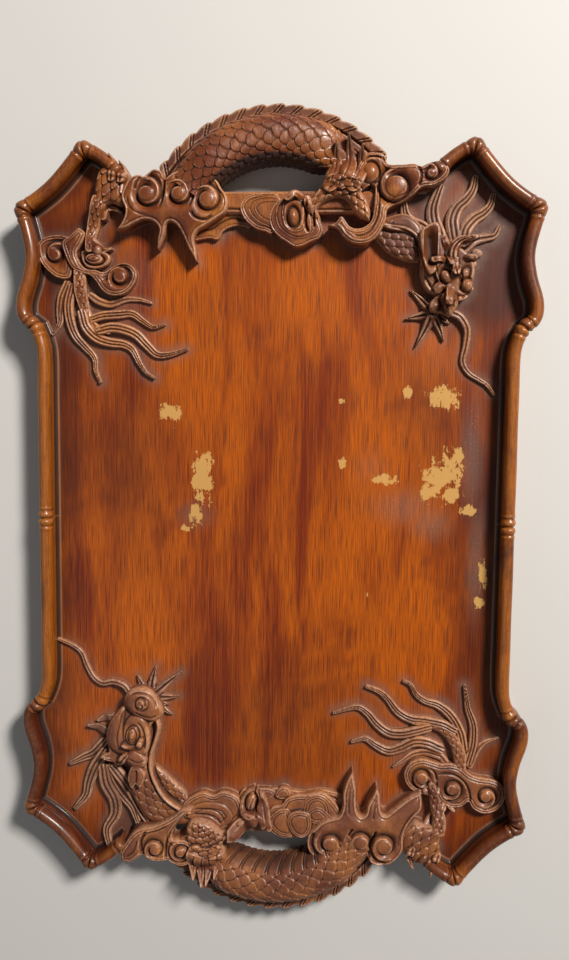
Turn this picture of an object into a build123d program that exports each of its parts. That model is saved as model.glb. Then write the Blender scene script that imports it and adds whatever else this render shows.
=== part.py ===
from build123d import *
import os
from math import cos, radians, sin

# Carved hardwood serving tray with a bamboo-form rim and two pierced dragon handles.
# Millimetres, +Z up, +Y along the tray's length, origin under the middle of the underside.
# The two ends are the same design turned half round, so each end piece is made once for the
# rear end (+Y) and turned about Z for the front end.

# ---------------------------------------------------------------- driving dimensions
RIM_HEIGHT = 32.0          # top of the bamboo rim above the table
RIM_WIDTH = 10.0           # thickness of the rim's wall
RIM_ROUNDING = 4.0         # rounding of the rim's two top edges
BOARD_UNDERSIDE = 4.0
BOARD_TOP = 13.0           # floor of the tray's recess
SIDE_X = 178.5             # centre line of the straight side rails

BOW_CENTRE_Y = 205.0       # centre of the arc of each handle bow
BOW_RADIUS = 82.0          # centre line of the bow
BOW_HALF_WIDTH = 18.5      # across the grip, in plan
BOW_HALF_HEIGHT = 16.0
BOW_CENTRE_Z = 21.0
BOW_SPAN = (38.0, 143.0)   # degrees, from +X, where the bow starts and ends
FIN_RADIUS = 109.0         # tips of the back fin
FIN_ROOT_RADIUS = 100.0
FIN_TEETH = 11
FIN_Z = (17.0, 25.0)

END_RAIL_HALF_LENGTH = 112.0
END_RAIL_Y = (236.0, 249.0)
END_RAIL_TOP = 25.0

DOWEL_RADIUS = 1.6
DOWEL_LENGTH = 8.0
DOWEL_Z = 20.0
SMALLEST_PIECE = 40.0      # mm3, under which an offcut of a trimmed carving is dropped

# Heights of the carvings' tops above the table
TOP = {
    "ruyi_cloud": 33.0, "wave_band": 17.5, "shell_cloud": 25.0, "paw": 29.0, "foreleg": 34.0,
    "side_cloud": 33.0, "neck": 25.0, "head": 33.0, "mane": 19.0, "whisker": 17.0,
    "beard_flame": 19.0, "haunch": 30.0, "tail_leg": 22.0, "tail_cloud": 22.0,
    "tail_tip": 20.0, "tail_tuft": 18.0,
}

# ---------------------------------------------------------------- centre lines of the rim
# One corner (+X, +Y), from the middle of the side to the handle. The others mirror it.
RIM_SPANS = {
    "side_rail": [
        (SIDE_X, 0), (SIDE_X, 30), (SIDE_X, 62), (SIDE_X, 94), (SIDE_X, 125), (180.5, 138), (185, 149),
    ],
    "waist_rail": [(185, 149), (193, 156), (194, 168), (188.5, 187), (187, 206), (194, 236)],
    "ear_rail": [(194, 236), (177, 247.5), (164.5, 259), (146, 281)],
    "throat_rail": [(146, 281), (136, 276.5), (127, 270), (118.5, 262)],
}


def tangent_of(points, at_end):
    """Unit direction of the smooth line through points, at its start or its end."""
    return Spline(*points) % (1.0 if at_end else 0.0)


def sideways(direction, other=None):
    """Vector to the right of a line, of half the rim's width, mitred where two lines meet."""
    right = Vector(direction.Y, -direction.X)
    if other is None:
        return right * (RIM_WIDTH / 2)
    middle = (right + Vector(other.Y, -other.X)).normalized()
    return middle * (RIM_WIDTH / 2 / middle.dot(right))


def rim_face(name):
    """Flat plan of one rim span, its ends cut on the mitre with the spans next to it."""
    names = list(RIM_SPANS)
    index = names.index(name)
    points = RIM_SPANS[name]
    line = Spline(*points)
    start = line % 0
    before = tangent_of(RIM_SPANS[names[index - 1]], True) if index else Vector(-start.X, start.Y)
    after = tangent_of(RIM_SPANS[names[index + 1]], False) if index + 1 < len(names) else None
    right, left = [], []
    steps = 2 * (len(points) - 1)
    for step in range(steps + 1):
        t = step / steps
        neighbour = before if step == 0 else after if step == steps else None
        offset = sideways(line % t, neighbour)
        right.append(line @ t + offset)
        left.append(line @ t - offset)
    edges = [Spline(*right), Line(right[-1], left[-1]), Spline(*left), Line(left[0], right[0])]
    return make_face(edges)


def rim_rail(name):
    """One bamboo-form rail with its two long top edges rounded."""
    rail = extrude(rim_face(name), RIM_HEIGHT)
    top_edges = rail.edges().filter_by_position(Axis.Z, RIM_HEIGHT, RIM_HEIGHT)
    long_edges = top_edges.sort_by(SortBy.LENGTH)[-2:]
    return fillet(long_edges, RIM_ROUNDING)


def board_solid():
    """Tray floor, housed half way into the rim and running under the two end rails."""
    corner = [Spline(*points) for points in RIM_SPANS.values()]
    rail_end = (END_RAIL_HALF_LENGTH, END_RAIL_Y[1])
    straight = Polyline(RIM_SPANS["throat_rail"][-1], rail_end, (0, END_RAIL_Y[1]), (0, 0), (SIDE_X, 0))
    plan = make_face(corner + straight.edges())
    plan += mirror(plan, Plane.YZ)
    plan += mirror(plan, Plane.XZ)
    return Pos(0, 0, BOARD_UNDERSIDE) * extrude(plan, BOARD_TOP - BOARD_UNDERSIDE)


# ---------------------------------------------------------------- shapes of the carvings
def slab(outline, top, bottom=BOARD_TOP):
    """Upright slab inside a smooth closed outline."""
    plan = make_face(Spline(*outline, periodic=True))
    return Pos(0, 0, bottom) * extrude(plan, top - bottom)


def spiked_slab(outline, top):
    """Upright slab inside a closed outline of straight runs."""
    return Pos(0, 0, BOARD_TOP) * extrude(make_face(Polyline(*outline, close=True)), top - BOARD_TOP)


def strand(points, width, tip, top):
    """Upright ribbon along a smooth line, tapering from width at its root to tip at its end."""
    line = Spline(*points)
    steps = 2 * len(points)
    right, left = [], []
    for step in range(steps + 1):
        t = step / steps
        direction = line % t
        half = (width + (tip - width) * t) / 2
        across = Vector(direction.Y, -direction.X) * half
        right.append(line @ t + across)
        left.append(line @ t - across)
    edges = [Spline(*right), Line(right[-1], left[-1]), Spline(*left), Line(left[0], right[0])]
    return Pos(0, 0, BOARD_TOP) * extrude(make_face(edges), top - BOARD_TOP)


def strands(lines, width, tip, top):
    """Several ribbons, joined where they lie side by side."""
    ribbons = [strand(points, width, tip, top) for points in lines]
    joined = ribbons[0]
    for ribbon in ribbons[1:]:
        joined += ribbon
    return joined


def bow_solid():
    """The dragon's body as a handle: an elliptical grip along an arc."""
    start, end = BOW_SPAN
    path = CenterArc((0, BOW_CENTRE_Y, BOW_CENTRE_Z), BOW_RADIUS, start, end - start)
    section = Plane(origin=path @ 0, z_dir=path % 0, x_dir=(0, 0, 1))
    return sweep(section * Ellipse(BOW_HALF_HEIGHT, BOW_HALF_WIDTH), path=path)


def back_fin():
    """Saw-toothed fin along the outer side of the bow."""
    first, last = 52.0, 133.0
    step = (last - first) / FIN_TEETH

    def at(radius, angle):
        return (radius * cos(radians(angle)), BOW_CENTRE_Y + radius * sin(radians(angle)))

    teeth = [at(FIN_ROOT_RADIUS + 2, first)]
    for tooth in range(FIN_TEETH):
        angle = first + tooth * step
        teeth.append(at(FIN_RADIUS, angle + 0.3 * step))
        teeth.append(at(FIN_RADIUS - 0.4, angle + 0.75 * step))
        teeth.append(at(FIN_RADIUS - 3.0, angle + step))
    inner = [at(FIN_ROOT_RADIUS - 6, last + (first - last) * i / 12) for i in range(13)]
    plan = make_face(Polyline(*teeth, *inner, close=True))
    return Pos(0, 0, FIN_Z[0]) * extrude(plan, FIN_Z[1] - FIN_Z[0])


def end_rail():
    """Straight wall between the ears, on the board's edge."""
    width = END_RAIL_Y[1] - END_RAIL_Y[0]
    middle = sum(END_RAIL_Y) / 2
    height = END_RAIL_TOP - BOARD_TOP
    rail = Pos(0, middle, BOARD_TOP + height / 2) * Box(2 * END_RAIL_HALF_LENGTH, width, height)
    inner = rail.edges().group_by(Axis.Z)[-1].filter_by(Axis.X).sort_by(Axis.Y)[0]
    return chamfer(inner, 3.0)


# ---------------------------------------------------------------- outlines of the carvings
RUYI_CLOUD = [
    (-110, 258), (-115, 249), (-113, 238), (-119, 223), (-104, 227), (-94, 227), (-89.5, 209),
    (-85, 225), (-76, 224), (-63, 201), (-62, 218), (-49, 226), (-38, 239), (-42, 252),
    (-54, 260), (-66, 264), (-80, 261), (-95, 266),
]
WAVE_BAND = [(-62, 213), (-47, 213.5), (-36, 221), (-24, 224), (-20, 234), (-42, 235), (-62, 232)]
SHELL_CLOUD = [(-28, 238), (-21, 246), (-9, 247), (1, 241), (-4, 232), (-11, 221), (-20, 224)]
PAW = [(1, 241), (9, 247), (20, 247), (26, 236), (34, 222), (28, 213), (16, 210), (3, 217), (-4, 227)]
FORELEG = [
    (24, 240), (32, 248), (41, 258), (45, 272), (55, 277), (62, 270), (61, 252), (69, 240),
    (68, 228), (61, 231), (54, 240), (43, 244), (34, 240), (27, 233),
]
SIDE_CLOUD = [
    (50, 220), (57, 213), (68, 212), (78, 221), (83, 236), (96, 244), (108, 255), (118, 254),
    (127, 262), (121, 270), (107, 267), (92, 270), (78, 268), (73, 255), (73, 238), (69, 226), (57, 224),
]
NECK = [(78, 226), (92, 224), (104, 216), (111, 203), (105, 196), (94, 199), (83, 205), (76, 214)]
HEAD = [
    (108, 216), (114, 223), (122, 224), (134, 219), (146, 216), (146, 203), (145, 188), (144, 177),
    (137, 170), (134, 160), (125, 156), (116, 160), (114, 172), (112, 188), (109, 203),
]
MANE = [
    [(116, 219), (104, 226), (98, 232), (97, 240)],
    [(129, 215), (122, 228), (117, 239), (121, 252)],
    [(136, 215), (133, 230), (137, 242), (146, 256)],
    [(142, 214), (148, 228), (157, 234), (162, 243)],
    [(144, 208), (153, 215), (161, 215), (167, 222)],
]
WHISKERS = [
    [(129, 162), (140, 156), (145, 146), (143, 132), (144, 120), (153, 111), (166, 100)],
    [(110, 198), (111, 187), (117, 177), (123, 171)],
]
BEARD_FLAME = [
    (101, 177), (110, 166), (116, 172), (126, 163), (134, 158), (126, 153), (128, 139), (119, 148),
    (107, 134), (109, 150), (98, 156), (107, 161),
]
HAUNCH = [
    (-131, 268), (-124, 274), (-113, 269), (-106, 258), (-104, 247), (-112, 238), (-121, 240), (-130, 250),
]
TAIL_LEG = [(-133, 250), (-135, 238), (-139, 228), (-143, 217), (-143, 209), (-133, 206)]
TAIL_CLOUD = [
    (-184, 209), (-176, 217), (-164, 216), (-150, 222), (-146, 208), (-142, 194), (-127, 193),
    (-114, 197), (-107, 188), (-112, 178), (-124, 173), (-136, 176), (-146, 187), (-160, 187), (-176, 193),
]
TAIL_TIP = [(-153, 190), (-151, 168), (-146, 156), (-139, 149), (-131, 145)]
TAIL_TUFTS = [
    [(-150, 170), (-138, 172), (-127, 167), (-116, 170), (-105, 169), (-95, 167)],
    [(-144, 156), (-133, 157), (-121, 158), (-110, 158), (-101, 152), (-87, 150)],
    [(-138, 147), (-118, 147), (-107, 143), (-99, 135), (-89, 128), (-68, 131)],
    [(-150, 156), (-146, 143), (-129, 137), (-115, 134), (-107, 124), (-99, 113), (-93, 109)],
    [(-159, 178), (-160, 156), (-154, 139), (-143, 127), (-139, 115), (-137, 106)],
    [(-165, 180), (-167, 165), (-168, 153), (-174, 140)],
]


def largest_solids(shape, name):
    """The solids of a trimmed carving without the offcuts."""
    solids = [solid for solid in shape.solids() if solid.volume > SMALLEST_PIECE]
    if name in ("mane", "whisker", "tail_tuft"):
        return Compound(children=solids) if len(solids) > 1 else solids[0]
    return max(solids, key=lambda solid: solid.volume)


def end_pieces(board):
    """Every piece of the rear end, each trimmed by the board, rim and pieces listed before it."""
    raw = {
        "dragon_body": bow_solid(),
        "back_fin": back_fin(),
        "end_rail": end_rail(),
        "ruyi_cloud": slab(RUYI_CLOUD, TOP["ruyi_cloud"]),
        "foreleg": slab(FORELEG, TOP["foreleg"]),
        "side_cloud": slab(SIDE_CLOUD, TOP["side_cloud"]),
        "paw": slab(PAW, TOP["paw"]),
        "shell_cloud": slab(SHELL_CLOUD, TOP["shell_cloud"]),
        "wave_band": slab(WAVE_BAND, TOP["wave_band"]),
        "head": slab(HEAD, TOP["head"]),
        "neck": slab(NECK, TOP["neck"]),
        "mane": strands(MANE, 9.0, 3.0, TOP["mane"]),
        "beard_flame": spiked_slab(BEARD_FLAME, TOP["beard_flame"]),
        "whisker": strands(WHISKERS, 4.0, 2.0, TOP["whisker"]),
        "haunch": slab(HAUNCH, TOP["haunch"]),
        "tail_leg": strand(TAIL_LEG, 10.0, 7.0, TOP["tail_leg"]),
        "tail_cloud": slab(TAIL_CLOUD, TOP["tail_cloud"]),
        "tail_tip": strand(TAIL_TIP, 9.0, 3.0, TOP["tail_tip"]),
        "tail_tuft": strands(TAIL_TUFTS, 6.0, 2.5, TOP["tail_tuft"]),
    }
    surround = [rim_rail(name) for name in RIM_SPANS]
    surround += [mirror(rail, Plane.YZ) for rail in surround] + [board]
    pieces = {}
    for name, shape in raw.items():
        box = shape.bounding_box()
        for other in surround + list(pieces.values()):
            if box.overlaps(other.bounding_box()):
                shape = shape - other
        pieces[name] = largest_solids(shape, name)
    return pieces


def rim_dowels():
    """Hidden pegs along the rim, one through each joint between two rails."""
    pegs = []
    names = list(RIM_SPANS)
    for first, second in zip(names, names[1:]):
        joint = Vector(*RIM_SPANS[first][-1])
        mean = tangent_of(RIM_SPANS[first], True) + tangent_of(RIM_SPANS[second], False)
        peg = Plane(origin=(joint.X, joint.Y, DOWEL_Z), z_dir=mean) * Cylinder(DOWEL_RADIUS, DOWEL_LENGTH)
        pegs += [peg, mirror(peg, Plane.YZ)]
    side_peg = Pos(SIDE_X, 0, DOWEL_Z) * Rot(90, 0, 0) * Cylinder(DOWEL_RADIUS, DOWEL_LENGTH)
    pegs += [mirror(peg, Plane.XZ) for peg in pegs] + [side_peg, mirror(side_peg, Plane.YZ)]
    return Compound(children=pegs)


def build_tray():
    """All nodes of the tray, by name."""
    board = board_solid()
    dowels = rim_dowels()
    nodes = {"tray_board": board, "rim_dowels": dowels}
    for span in RIM_SPANS:
        right_rear = rim_rail(span) - board
        left_rear = mirror(right_rear, Plane.YZ)
        corners = {
            "right_rear": right_rear,
            "left_rear": left_rear,
            "right_front": mirror(right_rear, Plane.XZ),
            "left_front": mirror(left_rear, Plane.XZ),
        }
        for corner, rail in corners.items():
            nodes[f"{corner}_{span}"] = rail - dowels
    for name, piece in end_pieces(board).items():
        nodes[f"rear_{name}"] = piece
        nodes[f"front_{name}"] = Rot(0, 0, 180) * piece
    return nodes


def main():
    """Write each node to its own STEP file."""
    os.makedirs("parts", exist_ok=True)
    for name, shape in build_tray().items():
        shape.label = name
        export_step(shape, f"parts/{name}.step")


if __name__ == "__main__":
    main()
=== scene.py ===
"""A carved hardwood serving tray: bamboo-form rim, dragon-bow handles and relief carvings.

Lengths are in mm and angles in degrees, unless a name or a comment says otherwise. The carvings of
both ends are drawn in the rear end's plan, and the front end's are turned half round from it.
"""
import logging
import math
from dataclasses import dataclass, field
from enum import Enum
from typing import Optional, Sequence

import bmesh
import bpy
import numpy as np
from mathutils import Matrix, Vector


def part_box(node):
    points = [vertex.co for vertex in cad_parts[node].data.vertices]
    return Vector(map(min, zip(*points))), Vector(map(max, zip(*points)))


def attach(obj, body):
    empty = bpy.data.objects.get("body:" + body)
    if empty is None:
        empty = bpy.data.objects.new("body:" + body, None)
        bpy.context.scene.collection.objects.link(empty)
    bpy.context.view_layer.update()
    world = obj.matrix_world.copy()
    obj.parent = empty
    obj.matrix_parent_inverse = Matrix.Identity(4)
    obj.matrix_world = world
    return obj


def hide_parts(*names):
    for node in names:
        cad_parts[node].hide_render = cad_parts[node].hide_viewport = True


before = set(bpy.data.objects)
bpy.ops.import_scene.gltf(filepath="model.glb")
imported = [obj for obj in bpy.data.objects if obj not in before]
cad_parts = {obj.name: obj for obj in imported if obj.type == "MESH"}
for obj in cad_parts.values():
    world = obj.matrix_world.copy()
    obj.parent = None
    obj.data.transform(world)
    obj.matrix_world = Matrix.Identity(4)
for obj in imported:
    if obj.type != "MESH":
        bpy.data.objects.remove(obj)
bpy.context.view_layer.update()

LOG = logging.getLogger("tray")
MM = 0.001
BOARD_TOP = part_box("tray_board")[1].z / MM          # the recess floor, mm above the table
RIM_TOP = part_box("right_rear_side_rail")[1].z / MM
PITCH = 0.5                 # mm between points of a carved surface
CLIFF = 10.0                                        # mm of fall per mm beyond a motif's edge
REACH = 14.0                                        # mm around a motif where dust gathers
WELD = 0.01                                         # mm between points that are one
BATCH = 8192                                        # points held against a line at a time
FAR = 1e3                                           # mm, past anything on the tray
WOOD_IOR = 1.5

Point = tuple[float, float]
Corners = tuple[np.ndarray, np.ndarray]
Cells = tuple[float, float, float]                  # a pattern's cells per metre along x, y and z
Spot = tuple[float, float, float, float, float]     # x, y, half width, half length, strength
Socket = bpy.types.NodeSocket


class End(Enum):
    """The two ends of the tray, and how a motif drawn for the rear end is turned to fit."""

    REAR = ("rear", 1.0, 0.0, 0.0)
    FRONT = ("front", -1.0, 0.42, 2.5)

    @property
    def label(self) -> str:
        """Name that the end's pieces start with."""
        return self.value[0]

    @property
    def sign(self) -> float:
        """Factor on x and y: the front end is the rear end turned half round."""
        return self.value[1]

    @property
    def film(self) -> float:
        """Grey dust all over the end's carvings; the front is handled less."""
        return self.value[2]

    @property
    def further(self) -> float:
        """How much further out the end's bow and fin stand."""
        return self.value[3]


# ------------------------------------------------------------------------------ drawing lines
def smooth_line(points: Sequence[Point], closed: bool = False, step: float = 0.8) -> np.ndarray:
    """Draws a smooth line through points; a point given twice is a sharp corner.

    Args:
        points: the points.
        closed: whether the line returns to its start.
        step: spacing of the returned points.

    Returns:
        An array of points, N by 2.
    """
    p = np.asarray(points, float)
    if closed:
        p = np.vstack([p[-1:], p, p[:2]])
    else:
        p = np.vstack([2 * p[:1] - p[1:2], p, 2 * p[-1:] - p[-2:-1]])
    out = []
    for a, b, c, d in zip(p[:-3], p[1:-2], p[2:-1], p[3:]):
        length = float(np.hypot(*(c - b)))
        if length < 1e-6:
            continue
        t = np.linspace(0, 1, max(2, int(length / step) + 1), endpoint=False)[:, None]
        m0, m1 = (c - a) / 2, (d - b) / 2
        out.append((2 * t**3 - 3 * t**2 + 1) * b + (t**3 - 2 * t**2 + t) * m0
                   + (3 * t**2 - 2 * t**3) * c + (t**3 - t**2) * m1)
    out.append(p[-2:-1])
    return np.vstack(out)


def lengths_along(points: np.ndarray) -> np.ndarray:
    """Length of a line up to each of its points."""
    return np.concatenate([[0], np.cumsum(np.hypot(*np.diff(points, axis=0).T))])


class Line:
    """A smooth line in plan, with distances to it."""

    def __init__(self, points: Sequence[Point], closed: bool = False) -> None:
        """Draws the line.

        Args:
            points: its points.
            closed: whether it is an outline.
        """
        self.points = smooth_line(points, closed)
        self.start, self.run = self.points[:-1], np.diff(self.points, axis=0)
        self.size2 = np.maximum((self.run**2).sum(1), 1e-12)
        self.along = np.concatenate([[0], np.cumsum(np.sqrt(self.size2))])
        self.low, self.high = self.points.min(0), self.points.max(0)

    @property
    def length(self) -> float:
        """Length of the line."""
        return float(self.along[-1])

    def near(self, p: np.ndarray) -> tuple[np.ndarray, np.ndarray, np.ndarray]:
        """Finds where points lie against the line.

        Args:
            p: points, N by 2.

        Returns:
            Distance, place along the line, and offset to the line's left.
        """
        dist, place, side = (np.empty(len(p)) for _ in range(3))
        knots = self.points.astype(np.float32)
        last = len(self.start) - 1
        for i in range(0, len(p), BATCH):
            part = slice(i, i + BATCH)
            q = p[part]
            nearest = ((knots**2).sum(1) - 2 * q.astype(np.float32) @ knots.T).argmin(1)
            best = np.full(len(q), np.inf)
            for k in (np.clip(nearest - 1, 0, last), np.clip(nearest, 0, last)):
                run, offset = self.run[k], q - self.start[k]
                t = np.clip((offset * run).sum(1) / self.size2[k], 0, 1)
                gap = offset - t[:, None] * run
                d2, size = (gap**2).sum(1), np.sqrt(self.size2[k])
                turn = (run[:, 0] * gap[:, 1] - run[:, 1] * gap[:, 0]) / size
                better = d2 < best
                best = np.where(better, d2, best)
                place[part] = np.where(better, self.along[k] + t * size, place[part])
                side[part] = np.where(better, turn, side[part])
            dist[part] = np.sqrt(best)
        return dist, place, side

    def inside(self, p: np.ndarray) -> np.ndarray:
        """Says which points lie inside a closed line."""
        found = np.zeros(len(p), bool)
        for a, d in zip(self.start, self.run):
            if d[1]:
                between = (p[:, 1] >= a[1]) != (p[:, 1] >= a[1] + d[1])
                found ^= between & (p[:, 0] < a[0] + (p[:, 1] - a[1]) * d[0] / d[1])
        return found

    def depth(self, p: np.ndarray) -> np.ndarray:
        """Distance inside a closed line, negative outside it."""
        return self.near(p)[0] * np.where(self.inside(p), 1, -1)


def ease(t: np.ndarray) -> np.ndarray:
    """Smooth step from 0 to 1."""
    t = np.clip(t, 0, 1)
    return t * t * (3 - 2 * t)


def dome(t: np.ndarray) -> np.ndarray:
    """Round profile: 1 at t = 0, falling to 0 at t = 1."""
    return np.sqrt(np.clip(1 - np.clip(t, 0, 1) ** 2, 0, 1))


def bell(t: np.ndarray) -> np.ndarray:
    """Soft bump: 1 at t = 0, fading both ways."""
    return np.exp(-(t**2))


def taper(ends: tuple[float, float], t: np.ndarray) -> np.ndarray:
    """Value at t, from the first of two at 0 to the second at 1."""
    return ends[0] + (ends[1] - ends[0]) * t


# ------------------------------------------------------------------------------ cuts of a relief
class Cut:
    """One step of carving, applied to heights h (mm over the recess floor) at points p.

    depth is how far inside the carving each point is, and grows where a cut adds ground.
    """

    margin = 0.0                           # how far the cut reaches past its corners

    def reach(self) -> Corners:
        """Lowest and highest corner that the cut can change."""
        raise NotImplementedError

    def cut(self, p: np.ndarray, h: np.ndarray, depth: np.ndarray) -> None:
        """Changes h and depth in place."""
        raise NotImplementedError


class LineCut(Cut):
    """A cut that follows a line or fills an outline."""

    line: Line

    def reach(self) -> Corners:
        """Corners of the line."""
        return self.line.low, self.line.high

    def share(self, p: np.ndarray) -> tuple[np.ndarray, np.ndarray, np.ndarray]:
        """Distance to the line, share of its length passed, and offset to its left."""
        d, place, side = self.line.near(p)
        return d, place / self.line.length, side

    @staticmethod
    def add_ground(h: np.ndarray, depth: np.ndarray, top: np.ndarray, inside: np.ndarray) -> None:
        """Raises h to top, with a cliff beyond the edge, and depth to the distance inside."""
        np.maximum(h, top + np.minimum(inside, 0) * CLIFF, out=h)
        np.maximum(depth, inside, out=depth)


@dataclass
class Plate(LineCut):
    """A raised shape with a rounded shoulder, and fine lines that follow its outline."""

    outline: Sequence[Point]
    height: float
    shoulder: float = 3.0
    wall: float = 0.72                     # share of the height that stands upright at the edge
    lines: Sequence[tuple[float, float, float]] = ()      # inset, half width, depth
    crown: float = 0.0                     # rise of the middle over the shoulder

    def __post_init__(self) -> None:
        """Draws the outline."""
        self.line = Line(self.outline, True)

    def cut(self, p: np.ndarray, h: np.ndarray, depth: np.ndarray) -> None:
        """Raises the plate."""
        d = self.line.depth(p)
        top = self.height * (self.wall + (1 - self.wall) * dome(1 - np.clip(d / self.shoulder, 0, 1)))
        top += self.crown * ease(d / 7 - 0.15)
        for inset, half, deep in self.lines:
            top -= deep * bell((d - inset) / half)
        self.add_ground(h, depth, top, d)


@dataclass
class Groove(LineCut):
    """A gouged line that fades at its ends."""

    path: Sequence[Point]
    half: float
    deep: float
    closed: bool = False
    fade: float = 0.15                     # share of the length that each end fades over

    def __post_init__(self) -> None:
        """Draws the line."""
        self.line = Line(self.path, self.closed)

    def cut(self, p: np.ndarray, h: np.ndarray, depth: np.ndarray) -> None:
        """Gouges the line."""
        d, t, _ = self.share(p)
        ends = 1.0 if self.closed else ease(t / self.fade) * ease((1 - t) / self.fade)
        h -= self.deep * ends * bell(d / self.half)


@dataclass
class Ridge(LineCut):
    """A rounded cord that stands on the recess floor."""

    path: Sequence[Point]
    width: tuple[float, float]
    height: tuple[float, float]
    upright: float = 0.45                  # share of the height that is wall

    def __post_init__(self) -> None:
        """Draws the line."""
        self.line = Line(self.path)
        self.margin = max(self.width) / 2

    def cut(self, p: np.ndarray, h: np.ndarray, depth: np.ndarray) -> None:
        """Raises the cord."""
        d, t, _ = self.share(p)
        half = taper(self.width, t) / 2
        top = taper(self.height, t) * (self.upright + (1 - self.upright) * dome(d / half))
        self.add_ground(h, depth, top, half - d)


@dataclass
class Lock(LineCut):
    """A tapering lock of hair with gouged strands; with no depth to them, a claw or a horn."""

    path: Sequence[Point]
    width: tuple[float, float] = (8.0, 2.0)
    height: tuple[float, float] = (5.5, 2.5)
    strands: int = 3
    deep: float = 1.3
    belly: float = 0.25                    # how much fuller the lock is at its middle
    swell: float = 0.18                    # share of the height that rises and falls along it

    def __post_init__(self) -> None:
        """Draws the line."""
        self.line = Line(self.path)
        self.margin = max(self.width) / 2 * (1 + self.belly)

    def cut(self, p: np.ndarray, h: np.ndarray, depth: np.ndarray) -> None:
        """Raises the lock and gouges its strands."""
        d, t, side = self.share(p)
        half = taper(self.width, t**1.3) / 2 * (1 + self.belly * np.sin(np.pi * t))
        across = np.clip(side / half, -1, 1)
        strand = np.abs(np.cos(np.pi * self.strands * (across + 1) / 2)) ** 5
        tall = taper(self.height, t) * (1 + self.swell * np.sin(2.3 * np.pi * t + 0.6))
        top = tall * (0.7 + 0.3 * dome(across)) - self.deep * strand * dome(across)
        beyond_tip = np.abs(side) < d - 1e-6
        self.add_ground(h, depth, top, half - np.where(beyond_tip, d, np.abs(side)))


@dataclass
class Ball(Cut):
    """A domed boss."""

    centre: Point
    radius: float
    height: float                          # of its top over the floor
    rise: float                            # of its top over its own rim
    stretch: float = 1.0                   # y radius over x radius
    turn: float = 0.0
    moat: float = 0.0                      # depth of the ring gouged round it
    adds: bool = False                     # whether it adds ground of its own

    def reach(self) -> Corners:
        """Corners of the boss."""
        c, r = np.asarray(self.centre, float), self.radius * max(1, self.stretch)
        return c - r, c + r

    def cut(self, p: np.ndarray, h: np.ndarray, depth: np.ndarray) -> None:
        """Raises the boss."""
        q = p - np.asarray(self.centre, float)
        c, s = math.cos(math.radians(self.turn)), math.sin(math.radians(self.turn))
        r = np.hypot(q[:, 0] * c + q[:, 1] * s, (q[:, 1] * c - q[:, 0] * s) / self.stretch)
        if self.moat:
            h -= self.moat * bell((r - self.radius - 0.5) / 0.9)
        top = self.height - self.rise * (1 - dome(r / self.radius))
        np.maximum(h, top + np.minimum(self.radius - r, 0) * CLIFF, out=h)
        if self.adds:
            np.maximum(depth, self.radius - r, out=depth)


@dataclass
class Scroll(LineCut):
    """A volute: a gouge that winds in round a ball, the band outside it sloping down to it."""

    centre: Point
    radius: float
    mouth: float                           # angle where the gouge starts
    hand: int = 1                          # 1 winds inwards anticlockwise, -1 clockwise
    turns: float = 1.2
    deep: float = 3.4
    eye: float = 0.42                      # ball's radius over the scroll's
    swell: float = 1.6                     # rise of the ball
    coils: int = 15                        # points that draw the spiral
    steep: float = 0.8                     # half width of the gouge towards the ball
    gentle: float = 0.22                   # and away from it, over the scroll's radius

    def __post_init__(self) -> None:
        """Draws the spiral, which hugs the ball in its last half."""
        at = np.linspace(0, 1, self.coils)
        angle = np.radians(self.mouth + self.hand * 360 * self.turns * at)
        ball = self.eye * self.radius
        r = ball + (self.radius - ball) * (1 - at) ** 2
        x, y = self.centre
        self.line = Line([(x + a, y + b) for a, b in zip(r * np.cos(angle), r * np.sin(angle))])

    def reach(self) -> Corners:
        """Corners of the scroll."""
        c = np.asarray(self.centre, float)
        return c - self.radius, c + self.radius

    def cut(self, p: np.ndarray, h: np.ndarray, depth: np.ndarray) -> None:
        """Carves the volute."""
        d, t, side = self.share(p)
        ends = ease(t / 0.06) * ease((1 - t) / 0.14)
        slope = np.where(side * self.hand > 0, self.steep, self.gentle * self.radius)
        h -= self.deep * ends * np.exp(-(d / slope) ** 1.5)
        r = np.hypot(*(p - np.asarray(self.centre, float)).T)
        h += self.swell * dome(r / (self.eye * self.radius))


@dataclass
class Scales(LineCut):
    """Overlapping scales along a band, their free edges towards the line's end."""

    path: Sequence[Point]
    half: float
    pitch: float = 6.0
    rise: float = 1.2
    crown: float = 0.6                     # fullness of each scale
    point: float = 1.6
    inset: float = 1.6                     # plain border kept inside the relief's outline

    def __post_init__(self) -> None:
        """Draws the line."""
        self.line = Line(self.path)
        self.margin = self.half

    def cut(self, p: np.ndarray, h: np.ndarray, depth: np.ndarray) -> None:
        """Carves the scales."""
        d, place, side = self.line.near(p)
        keep = ease((self.half - d) / 1.2) * ease(depth - self.inset + 0.5)
        scale = scale_height(place / self.pitch, side / self.pitch, self.crown, self.point)
        h += keep * (scale - 0.6) * self.rise


@dataclass
class Fall(Cut):
    """Slopes the relief down along a direction, from a starting point."""

    start: Point
    way: Point
    length: float
    drop: float                            # share of the height lost at the far end
    margin = 10 * FAR

    def reach(self) -> Corners:
        """The whole relief."""
        return np.full(2, -FAR), np.full(2, FAR)

    def cut(self, p: np.ndarray, h: np.ndarray, depth: np.ndarray) -> None:
        """Slopes the relief."""
        way = np.asarray(self.way, float)
        t = ((p - np.asarray(self.start, float)) @ (way / np.hypot(*way))) / self.length
        h *= 1 - self.drop * ease(t)


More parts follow.
